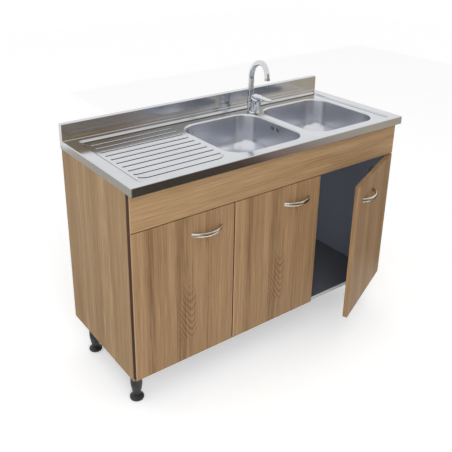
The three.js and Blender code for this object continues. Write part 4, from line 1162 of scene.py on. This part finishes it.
def make_waste(white, grey_plastic, black):
    trap_x = seen_from_above("trap_body", 0).x
    for name, side in (("left", 1), ("right", -1)):
        seat = strainer_seat(name)
        start = seat - Vector((0, 0, STRAINER_DEPTH + TAIL_LENGTH))
        reach = abs(trap_x - seat.x) - TRAP_RADIUS - FIT
        path = waste_path(start, side, reach)
        pipe = tube(path, [PIPE_RADIUS] * len(path), 40, False)
        bmesh.ops.solidify(pipe, geom=pipe.faces[:], thickness=PIPE_WALL)
        top_nut = fluted_nut(PIPE_RADIUS + FIT, PIPE_NUT, PIPE_NUT_HEIGHT)
        move(top_nut, Matrix.Translation(start + Vector((0, 0, TAIL_RADIUS - PIPE_NUT_HEIGHT))))
        side_nut = fluted_nut(PIPE_RADIUS + FIT, PIPE_NUT, PIPE_NUT_HEIGHT)
        across = Matrix.Rotation(math.radians(-90 * side), 4, "Y")
        move(side_nut, Matrix.Translation(path[-1]) @ across)
        piece(f"waste_{name}", merged(pipe, top_nut, side_nut), white, f"waste_pipe_{name}",
              slot="white_plastic")
    piece("trap", softened("trap_body", 0.0012, 3), white, "trap_body", slot="white_plastic")
    cup = softened("trap_cup", 0.002, 3)
    nut = fluted_nut(TRAP_CUP_RADIUS + FIT, TRAP_CUP_RADIUS + TRAP_NUT_LAP, TRAP_NUT_HEIGHT, 20)
    nut_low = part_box("trap_cup")[1].z - TRAP_NUT_HEIGHT
    move(nut, Matrix.Translation(seen_from_above("trap_cup", nut_low)))
    piece("trap_bottle", merged(cup, nut), grey_plastic, "trap_cup", slot="white_plastic")
    piece("outlet_pipe", softened("waste_outlet", 0.0006), white, "waste_outlet",
          slot="white_plastic")
    piece("overflow_housing", softened("overflow_box", 0.0012, 3), black, "overflow_box",
          slot="white_plastic")


# --- cabinet ---

def door_place(name):
    """Matrix from a door drawn from its hinge corner to where it stands."""
    side, ajar = DOOR_HINGES[name]
    pivot = Vector(joints[f"door_{name}_hinge"]["pos_m"])
    corner = Vector((pivot.x, pivot.y, DOOR_BOTTOM))
    return Matrix.Translation(corner) @ Matrix.Rotation(math.radians(-side * ajar), 4, "Z")


def bow_handle():
    """A flat bow of oval section, cut off where it meets the door's face at y = 0."""
    half = HANDLE_SPAN / 2
    radius = (half * half + HANDLE_BOW * HANDLE_BOW) / (2 * HANDLE_BOW)
    reach = math.asin(half / radius) + HANDLE_THICKNESS / radius
    centre = Vector((0, radius - HANDLE_BOW, 0))
    bm = bmesh.new()
    oval = Matrix.Diagonal((HANDLE_THICKNESS / 2, HANDLE_HEIGHT / 2, 1, 1))
    upright = Matrix.Rotation(math.radians(90), 4, "Y") @ Matrix.Rotation(math.radians(90), 4, "Z")
    foot = Matrix.Translation((0, HANDLE_THICKNESS / 2 - HANDLE_BOW, 0))
    start = Matrix.Translation(centre) @ Matrix.Rotation(-reach, 4, "Z") @ Matrix.Translation(-centre)
    bmesh.ops.create_circle(bm, segments=28, radius=1, matrix=start @ foot @ upright @ oval)
    geometry = bm.verts[:] + bm.edges[:]
    bmesh.ops.spin(bm, geom=geometry, cent=centre, axis=(0, 0, 1), dvec=(0, 0, 0),
                   angle=2 * reach, steps=56, use_merge=False)
    sliced(bm, (0, -FIT, 0), (0, 1, 0))
    bmesh.ops.recalc_face_normals(bm, faces=bm.faces)
    return bm


def make_handles(metal):
    for name, (side, _) in DOOR_HINGES.items():
        across = side * (DOOR_WIDTH - HANDLE_FROM_EDGE - HANDLE_SPAN / 2)
        place = door_place(name) @ Matrix.Translation((across, 0, HANDLE_AT))
        piece(f"handle_{name}_bow", move(bow_handle(), place), metal, f"handle_{name}",
              slot="handle_metal")


def make_boards():
    """Every board of the cabinet, with its edges eased and its print set out."""
    for side in ("left", "right"):
        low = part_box(f"side_panel_{side}")[0]
        finish = oak_decor(f"oak_side_{side}", tuple(low), (0, 0, math.radians(90)), SIDE_BANDS,
                           lift=SIDE_LIFT, seed=SIDE_SEEDS[side], lining=SIDE_LININGS[side])
        piece(f"side_{side}_board", softened(f"side_panel_{side}", BOARD_EDGE), finish,
              f"side_panel_{side}", slot="oak_decor")
    low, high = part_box("fascia")
    finish = oak_decor("oak_fascia", (low.x, low.y, high.z), (0, math.radians(90), 0), None,
                       lift=FASCIA_LIFT, dark_edge="Z", seed=FASCIA_SEED)
    piece("fascia_board", softened("fascia", BOARD_EDGE), finish, "fascia", slot="oak_decor")
    for name, (side, ajar) in DOOR_HINGES.items():
        corner = door_place(name).to_translation()
        turn = math.radians(-side * ajar)
        bands = [(at * DOOR_WIDTH - (DOOR_WIDTH if side < 0 else 0), tone)
                 for at, tone in DOOR_BANDS[name]]
        finish = oak_decor(f"oak_door_{name}", tuple(corner), (0, 0, turn), bands,
                           DOOR_FLAMES.get(name), DOOR_LIFTS[name], DOOR_EDGINGS.get(name),
                           DOOR_SEEDS[name])
        piece(f"door_{name}_board", softened(f"door_{name}", BOARD_EDGE), finish,
              f"door_{name}", slot="oak_decor")
    lining = slate_decor()
    for name in ("partition", "rear_rail"):
        piece(f"{name}_board", softened(name, BOARD_EDGE), lining, name, slot="slate_board")
    piece("cabinet_floor", softened("floor_panel", BOARD_EDGE), floor_decor(), "floor_panel",
          slot="slate_board")
    piece("cabinet_back", softened("back_panel", BOARD_EDGE / 2), hardboard(), "back_panel",
          slot="slate_board")
    piece("drainer_underlay", softened("drainer_board", BOARD_EDGE), chipboard(), "drainer_board",
          slot="underlay_board")


def screw(place):
    """A domed screw head that faces along the place's +Z."""
    head = turned([(0, -SCREW_SINK, 0), (SCREW_RADIUS, -SCREW_SINK, 0),
                   (SCREW_RADIUS, SCREW_EDGE, 0.0003), (0, SCREW_CROWN, 0)], 20, 2)
    return move(head, place)


def make_hinges(steel):
    for name, (side, _) in DOOR_HINGES.items():
        for level in ("lower", "upper"):
            cup = softened(f"hinge_cup_{name}_{level}", 0.0004)
            piece(f"hinge_{name}_{level}_cup", cup, steel, f"hinge_cup_{name}_{level}",
                  slot="hinge_steel")
            arm = softened(f"hinge_arm_{name}_{level}", 0.0004)
            low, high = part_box(f"hinge_arm_{name}_{level}")
            face_x = (low.x if side > 0 else high.x) + side * ARM_WALL
            facing = Matrix.Rotation(math.radians(90 * side), 4, "Y")
            for share in SCREW_PLACES:
                spot = Vector((face_x, low.y + share * (high.y - low.y), (low.z + high.z) / 2))
                merged(arm, screw(Matrix.Translation(spot) @ facing))
            piece(f"hinge_{name}_{level}_arm", arm, steel, f"hinge_arm_{name}_{level}",
                  slot="hinge_steel")


# --- legs ---

def leg_gussets():
    """Thin webs between a leg and its plate."""
    webs = bmesh.new()
    half = WEB_THICKNESS / 2
    under = LEG_TOP - LEG_PLATE
    for step in range(WEB_COUNT):
        web = slab((LEG_RADIUS - 0.002, -half, under - WEB_HEIGHT),
                   (LEG_PLATE_RADIUS - 0.003, half, under + 0.001), 0.0004)
        turn = Matrix.Rotation(math.radians(360 / WEB_COUNT * step + WEB_START), 4, "Z")
        merged(webs, move(web, turn))
    return webs


def make_legs(black):
    bore = STEM_RADIUS + FIT
    sleeve = [
        (bore, LEG_FOOT_GAP, 0), (LEG_NECK, LEG_FOOT_GAP, 0.001), (LEG_RADIUS, LEG_TAPER_TOP, 0.004),
        (LEG_RADIUS, LEG_TOP - LEG_PLATE, 0.001), (LEG_PLATE_RADIUS, LEG_TOP - LEG_PLATE, 0.001),
        (LEG_PLATE_RADIUS, LEG_TOP, 0.0006), (0, LEG_TOP, 0), (0, STEM_TOP + 2 * FIT, 0),
        (bore, STEM_TOP + 2 * FIT, 0)]
    foot = [
        (0, 0, 0), (FOOT_RADIUS, 0, 0.003), (FOOT_RADIUS, FOOT_HEIGHT / 2, 0.0012),
        (LEG_NECK, FOOT_HEIGHT, 0.001), (STEM_RADIUS, FOOT_HEIGHT, 0), (STEM_RADIUS, STEM_TOP, 0.001),
        (0, STEM_TOP, 0)]
    for row in ("front", "rear"):
        for side in ("left", "right"):
            stand = Matrix.Translation(seen_from_above(f"foot_{row}_{side}", 0))
            leg = merged(turned(sleeve, 48), leg_gussets())
            piece(f"leg_{row}_{side}_sleeve", move(leg, stand), black, f"leg_{row}_{side}",
                  slot="black_plastic")
            piece(f"foot_{row}_{side}_disc", move(turned(foot, 48), stand), black,
                  f"foot_{row}_{side}", slot="black_plastic")


# --- mixer tap ---

def tap_foot():
    """The middle of the tap's base on the steel."""
    return seen_from_above("tap_base_ring", RECESS_FLOOR)


def head_place(turn=0):
    """Matrix of the tilted head, with its axis as Z."""
    foot = Matrix.Translation(tap_foot() + Vector((0, -HEAD_FORWARD, TAP_BASE_HEIGHT)))
    tilt = Matrix.Rotation(math.radians(HEAD_TILT), 4, "X")
    return foot @ tilt @ Matrix.Rotation(math.radians(turn), 4, "Z")


def swan_neck(steps=18):
    """Up the riser, over the arch and down to the outlet, with the spout pointing to -Y."""
    crest = SPOUT_REACH - SPOUT_NOSE
    points = [Vector((0, 0, SPOUT_RISE * step / 6)) for step in range(6)]
    for step in range(steps + 1):
        angle = math.pi / 2 * step / steps
        points.append(Vector((0, -crest * (1 - math.cos(angle)),
                              SPOUT_RISE + SPOUT_ARCH * math.sin(angle))))
    for step in range(1, steps + 1):
        angle = math.pi / 2 * step / steps
        points.append(Vector((0, -crest - SPOUT_NOSE * math.sin(angle),
                              SPOUT_RISE + SPOUT_ARCH - SPOUT_DROP * (1 - math.cos(angle)))))
    return points


def tap_body_mesh():
    """The tilted head on its waist, joined to the spout's socket by a bridge."""
    base = TAP_BASE_HEIGHT + FIT
    rim = CARTRIDGE_RADIUS + FIT
    floor = HEAD_LENGTH - CARTRIDGE_LENGTH - FIT
    head = turned([
        (0, -HEAD_FOOT, 0), (TAP_WAIST - HEAD_FOOT_INSET, -HEAD_FOOT, 0),
        (HEAD_RADIUS, HEAD_LENGTH - HEAD_BAND, 0.008), (HEAD_RADIUS, HEAD_LENGTH, 0.0007),
        (rim, HEAD_LENGTH, 0.0004), (rim, floor, 0), (0, floor, 0)], 96, 6)
    body = move(head, head_place())
    sliced(body, (0, 0, RECESS_FLOOR + base), (0, 0, -1), closed=False)
    waist_top = base + TAP_WAIST_HEIGHT
    waist = turned([
        (0, base, 0), (TAP_WAIST, base, 0.0005), (TAP_WAIST, base + TAP_WAIST_STRAIGHT, 0.004),
        (0.004, waist_top + 0.004, 0.002), (0, waist_top, 0)], 72)
    socket = turned([
        (0, base, 0), (SOCKET_RADIUS, base, 0.0005), (SOCKET_RADIUS, SOCKET_HEIGHT, 0.0012),
        (0, SOCKET_HEIGHT, 0)], 72)
    move(socket, Matrix.Translation((0, RISER_BACK, 0)))
    half = SOCKET_RADIUS - 0.001
    bridge = slab((-half, -0.004, base), (half, RISER_BACK, SOCKET_HEIGHT - 0.012), 0.003, 4)
    foot = Matrix.Translation(tap_foot())
    return merged(body, move(waist, foot), move(socket, foot), move(bridge, foot))


def lever_mesh():
    """A flat blade with a round end that rises from a round root behind its pivot."""
    half = LEVER_WIDTH / 2
    tip = half - LEVER_NARROWING
    blade = bmesh.new()
    face = cross_section(blade, [
        (-half, 0, 0.004), (half, 0, 0.004), (tip, -LEVER_LENGTH, tip * 0.98),
        (-tip, -LEVER_LENGTH, tip * 0.98)], 14)
    bmesh.ops.transform(blade, matrix=Matrix.Rotation(math.radians(-90), 4, "X"), verts=blade.verts)
    extruded(blade, face, (0, 0, LEVER_THICKNESS))
    rims = [edge for edge in blade.edges
            if abs(edge.verts[0].co.z - edge.verts[1].co.z) < 1e-6 and edge.calc_face_angle(0) > 1]
    rounded(blade, rims, LEVER_EDGE, 3, clamp=True)
    raised = Matrix.Rotation(math.radians(-LEVER_RAISED), 4, "X")
    move(blade, raised)
    root_radius = HEAD_RADIUS - HUB_BEVEL
    root = turned([(0, 0, 0), (root_radius, 0, 0.0004), (root_radius, LEVER_ROOT, 0),
                   (0, LEVER_ROOT, 0)], 64)
    move(root, Matrix.Translation((0, -root_radius, 0)))
    lid = raised @ Vector((0, 0, LEVER_THICKNESS * 0.7))
    sliced(root, lid, raised @ Vector((0, 0, 1)))
    return merged(blade, root)


def make_tap_body(chrome, brass, ceramic):
    """All that stays still: flange, casting, thread with its nut, and cartridge."""
    bore = SHANK_RADIUS + FIT
    ring = turned([
        (bore, FIT, 0), (TAP_BASE_RADIUS, FIT, 0.0004),
        (TAP_BASE_RADIUS, TAP_BASE_HEIGHT - TAP_BASE_BEVEL, 0.0012),
        (TAP_BASE_RADIUS - TAP_BASE_BEVEL, TAP_BASE_HEIGHT, 0.0012), (bore, TAP_BASE_HEIGHT, 0)], 96)
    move(ring, Matrix.Translation(tap_foot()))
    piece("tap_flange", ring, chrome, "tap_base_ring", slot="chrome")
    piece("tap_casting", tap_body_mesh(), chrome, "tap_body", slot="chrome")
    piece("tap_thread", softened("tap_shank", 0.0008), brass, "tap_shank", slot="brass")
    piece("tap_fixing_nut", softened("tap_nut", 0.0008), brass, "tap_nut", slot="brass")
    cartridge = turned([
        (0, HEAD_LENGTH - CARTRIDGE_LENGTH, 0),
        (CARTRIDGE_RADIUS, HEAD_LENGTH - CARTRIDGE_LENGTH, 0.0008),
        (CARTRIDGE_RADIUS, HEAD_LENGTH, 0.0008), (0, HEAD_LENGTH, 0)], 48)
    piece("mixing_cartridge", move(cartridge, head_place()), ceramic, "cartridge",
          slot="ceramic_cartridge")


def make_lever(chrome):
    """The cap that turns on the cartridge, and the blade that tips on it."""
    low = HEAD_LENGTH + FIT
    hub = turned([
        (0, low, 0), (HEAD_RADIUS, low, 0.0004), (HEAD_RADIUS, low + 0.002, 0.001),
        (HEAD_RADIUS - HUB_BEVEL, low + HUB_HEIGHT, 0.001), (0, low + HUB_HEIGHT, 0)], 96)
    piece("lever_cap", move(hub, head_place(LEVER_TURN)), chrome, "lever_hub", slot="chrome")
    pivot = Matrix.Translation((0, HEAD_RADIUS - HUB_BEVEL, low + HUB_HEIGHT + FIT))
    piece("lever_blade", move(lever_mesh(), head_place(LEVER_TURN) @ pivot), chrome, "lever",
          slot="chrome")


def make_spout(chrome, dark):
    """The swan neck with the collar at its foot, and the aerator with its screen."""
    riser = Matrix.Translation(tap_foot() + Vector((0, RISER_BACK, SOCKET_HEIGHT + FIT)))
    riser = riser @ Matrix.Rotation(math.radians(SPOUT_SWING), 4, "Z")
    path = swan_neck()
    lengths = [0.0]
    for first, second in zip(path, path[1:]):
        lengths.append(lengths[-1] + (second - first).length)
    radii = [SPOUT_FOOT_RADIUS + (SPOUT_TIP_RADIUS - SPOUT_FOOT_RADIUS) * length / lengths[-1]
             for length in lengths]
    pipe = tube(path, radii, 48)
    inner = SPOUT_FOOT_RADIUS - COLLAR_LAP
    outer = SPOUT_FOOT_RADIUS + COLLAR_PROUD
    collar = turned([(inner, 0, 0), (outer, 0, 0.0003), (outer, COLLAR_HEIGHT, 0.0005),
                     (inner, COLLAR_HEIGHT, 0)], 72)
    piece("swan_neck", move(merged(pipe, collar), riser), chrome, "spout", slot="chrome")
    outlet = SPOUT_RISE + SPOUT_ARCH - SPOUT_DROP - FIT
    tip = riser @ Matrix.Translation((0, -SPOUT_REACH, outlet))
    shell = turned([
        (AERATOR_BORE, -AERATOR_HEIGHT, 0.0005), (AERATOR_RADIUS, -AERATOR_HEIGHT, 0.0008),
        (AERATOR_RADIUS, 0, 0.0006), (AERATOR_BORE, 0, 0)], 64)
    piece("aerator_ring", move(shell, tip), chrome, "aerator", slot="chrome")
    low, high = (plane - AERATOR_HEIGHT for plane in SCREEN_PLANES)
    edge = AERATOR_BORE + SCREEN_LAP
    screen = turned([(0, low, 0), (edge, low, 0), (edge, high, 0), (0, high, 0)], 40)
    piece("aerator_screen", move(screen, tip), dark, slot="black_plastic", body="spout")


# --- floor, light and camera ---

WALL_TONES = [
    (0.0, srgb(110, 92, 70)), (0.37, srgb(166, 148, 116)), (0.41, srgb(140, 112, 82)),
    (0.45, srgb(150, 126, 102)), (0.49, srgb(196, 190, 184)), (0.54, srgb(165, 162, 155)),
    (0.60, srgb(205, 203, 195)), (0.68, srgb(225, 220, 210)), (0.75, srgb(222, 205, 180)),
    (1.0, srgb(235, 225, 205)),
]
FLOOR_TONES = [
    (0.0, srgb(84, 78, 66)), (0.25, srgb(76, 70, 60)), (0.35, srgb(84, 70, 64)),
    (0.42, srgb(146, 126, 118)), (0.52, srgb(176, 164, 156)), (0.6, srgb(190, 180, 164)),
    (1.0, srgb(180, 164, 140)),
]


def seen_directly(graph):
    """1 for rays that show the background itself, in the picture or in metal and glass."""
    kinds = ("Is Camera Ray", "Is Glossy Ray", "Is Transmission Ray")
    seen = sum(graph.node("ShaderNodeLightPath", output=kind) for kind in kinds)
    return seen.above(0.5)


def make_stage():
    bm = bmesh.new()
    bmesh.ops.create_grid(bm, x_segments=1, y_segments=1, size=FLOOR_SIDE / 2)
    bmesh.ops.translate(bm, vec=(0, 0, -FLOOR_DROP), verts=bm.verts)
    ground = in_scene("ground", as_mesh("ground", bm))
    finish = Finish("pale_floor", Roughness=0.9)
    finish.set("Base Color", grey(0.86))
    matt = Socket(finish, finish.shader.outputs[0])
    glow = finish.node("ShaderNodeEmission", {}, {"Color": grey(1.0), "Strength": FLOOR_GLOW})
    lit = finish.node("ShaderNodeAddShader", {}, {0: matt, 1: glow})
    shown = finish.node("ShaderNodeMixShader", {}, {0: seen_directly(finish), 1: matt, 2: lit})
    finish.set_surface(shown)
    ground.data.materials.append(finish.material)


def make_light():
    world = bpy.data.worlds.new("sky")
    bpy.context.scene.world = world
    world.use_nodes = True
    sky = Graph(world.node_tree)
    dim = sky.node("ShaderNodeBackground", {}, {"Color": grey(1.0), "Strength": SKY_LEVEL})
    white = sky.node("ShaderNodeBackground", {}, {"Color": grey(1.0), "Strength": 1.0})
    both = sky.node("ShaderNodeMixShader", {}, {0: seen_directly(sky), 1: dim, 2: white})
    sky.feed(world.node_tree.nodes["World Output"].inputs["Surface"], both)
    for name, place, size, power in LAMPS:
        data = bpy.data.lights.new(name, "AREA")
        data.energy = power
        data.size = size
        lamp = in_scene(name, data)
        lamp.location = place
        aim = LAMP_AIM - lamp.location
        lamp.rotation_euler = aim.to_track_quat("-Z", "Y").to_euler()
        lamp.visible_glossy = False


def reflected_card(name, corner, along, up, tones):
    """A card that only metal and gloss show. tones are (share along, colour) stops."""
    bm = bmesh.new()
    bmesh.ops.create_grid(bm, x_segments=1, y_segments=1, size=0.5)
    bmesh.ops.translate(bm, vec=(0.5, 0.5, 0), verts=bm.verts)
    sides = Matrix((along, up, along.cross(up).normalized())).transposed().to_4x4()
    move(bm, Matrix.Translation(corner) @ sides)
    card = in_scene(name, as_mesh(name, bm))
    for kind in ("camera", "diffuse", "transmission", "volume_scatter", "shadow"):
        setattr(card, f"visible_{kind}", False)
    finish = Finish(name)
    place = finish.place(tuple(corner))
    direction = along.normalized() / along.length
    share = finish.node("ShaderNodeVectorMath", {"operation": "DOT_PRODUCT"},
                        {0: place, 1: tuple(direction)}, "Value")
    glow = finish.node("ShaderNodeEmission", {}, {"Color": finish.ramp(share, tones)})
    finish.set_surface(glow)
    card.data.materials.append(finish.material)


def floor_card(name, x, y, width, depth, tones):
    """A card that lies on the floor, from its near left corner."""
    reflected_card(name, Vector((x, y, CARD_RISE)), Vector((width, 0, 0)), Vector((0, depth, 0)),
                   tones)


def plain(colour):
    """The tones of a card of one colour."""
    return [(0.0, colour), (1.0, colour)]


def make_cards():
    """The room that the steel reflects: a wall in front, and the floor round the unit."""
    reflected_card("wall_card", Vector((-2, WALL_CARD_AT, 0)), Vector((8, 0, 0)),
                   Vector((0, 0, WALL_CARD_HEIGHT)), WALL_TONES)
    floor_card("floor_card", -0.6, -3.3, 5, 2.5, FLOOR_TONES)
    floor_card("side_card", -3, 0.9, 2.2, 1.5, plain(srgb(190, 184, 172)))
    floor_card("right_card", 0.9, -0.75, 4, 4.5, plain(srgb(52, 50, 50)))
    floor_card("left_card", -3, -3.3, 2.35, 4.1, plain(srgb(150, 144, 134)))


def make_camera():
    data = bpy.data.cameras.new("camera")
    data.sensor_width = SENSOR
    data.lens = FOCAL_PIXELS / PHOTO_SIDE * SENSOR
    data.shift_x, data.shift_y = CAMERA_SHIFT
    camera = in_scene("camera", data)
    heading = Matrix.Rotation(-math.radians(CAMERA_HEADING), 4, "Z")
    down = Matrix.Rotation(math.radians(90 - CAMERA_DOWN), 4, "X")
    roll = Matrix.Rotation(math.radians(CAMERA_ROLL), 4, "Z")
    camera.matrix_world = Matrix.Translation(CAMERA_AT) @ heading @ down @ roll
    bpy.context.scene.camera = camera


make_camera()
make_light()
make_stage()
make_cards()
bpy.context.scene.view_settings.view_transform = "Standard"

satin_steel = pressed_steel(srgb(208, 210, 214), 0.12)
bowl_steel = satin_bowl("bowl_steel", srgb(212, 214, 220), 0.25)
# painted shade: the strainers' steel is darkened to stand for the shade down in the drain hole
drain_steel_painted_shade = satin_bowl("drain_steel_painted_shade", srgb(132, 134, 138), 0.35)
handle_metal = brushed_steel("handle_metal", srgb(226, 218, 210), 0.25)
hinge_steel = brushed_steel("hinge_steel", srgb(196, 196, 194), 0.3, "z")
chrome_plate = polished_chrome()
brass_metal = cast_brass()
white_plastic = plastic("white_plastic", (226, 226, 222), 0.35, 0.00004)
grey_plastic = plastic("grey_plastic", (206, 206, 202), 0.35, 0.00004)
black_plastic = plastic("black_plastic", (34, 34, 36), 0.42, 0.00008)
ceramic = plastic("ceramic_cartridge", (214, 214, 210), 0.4, 0.00003)
make_top(satin_steel, rib_steel_painted_flank_shade())
make_bowls(bowl_steel)
make_strainers(drain_steel_painted_shade, white_plastic)
make_waste(white_plastic, grey_plastic, black_plastic)
make_boards()
make_handles(handle_metal)
make_hinges(hinge_steel)
make_legs(black_plastic)
make_tap_body(chrome_plate, brass_metal, ceramic)
make_lever(chrome_plate)
make_spout(chrome_plate, black_plastic)
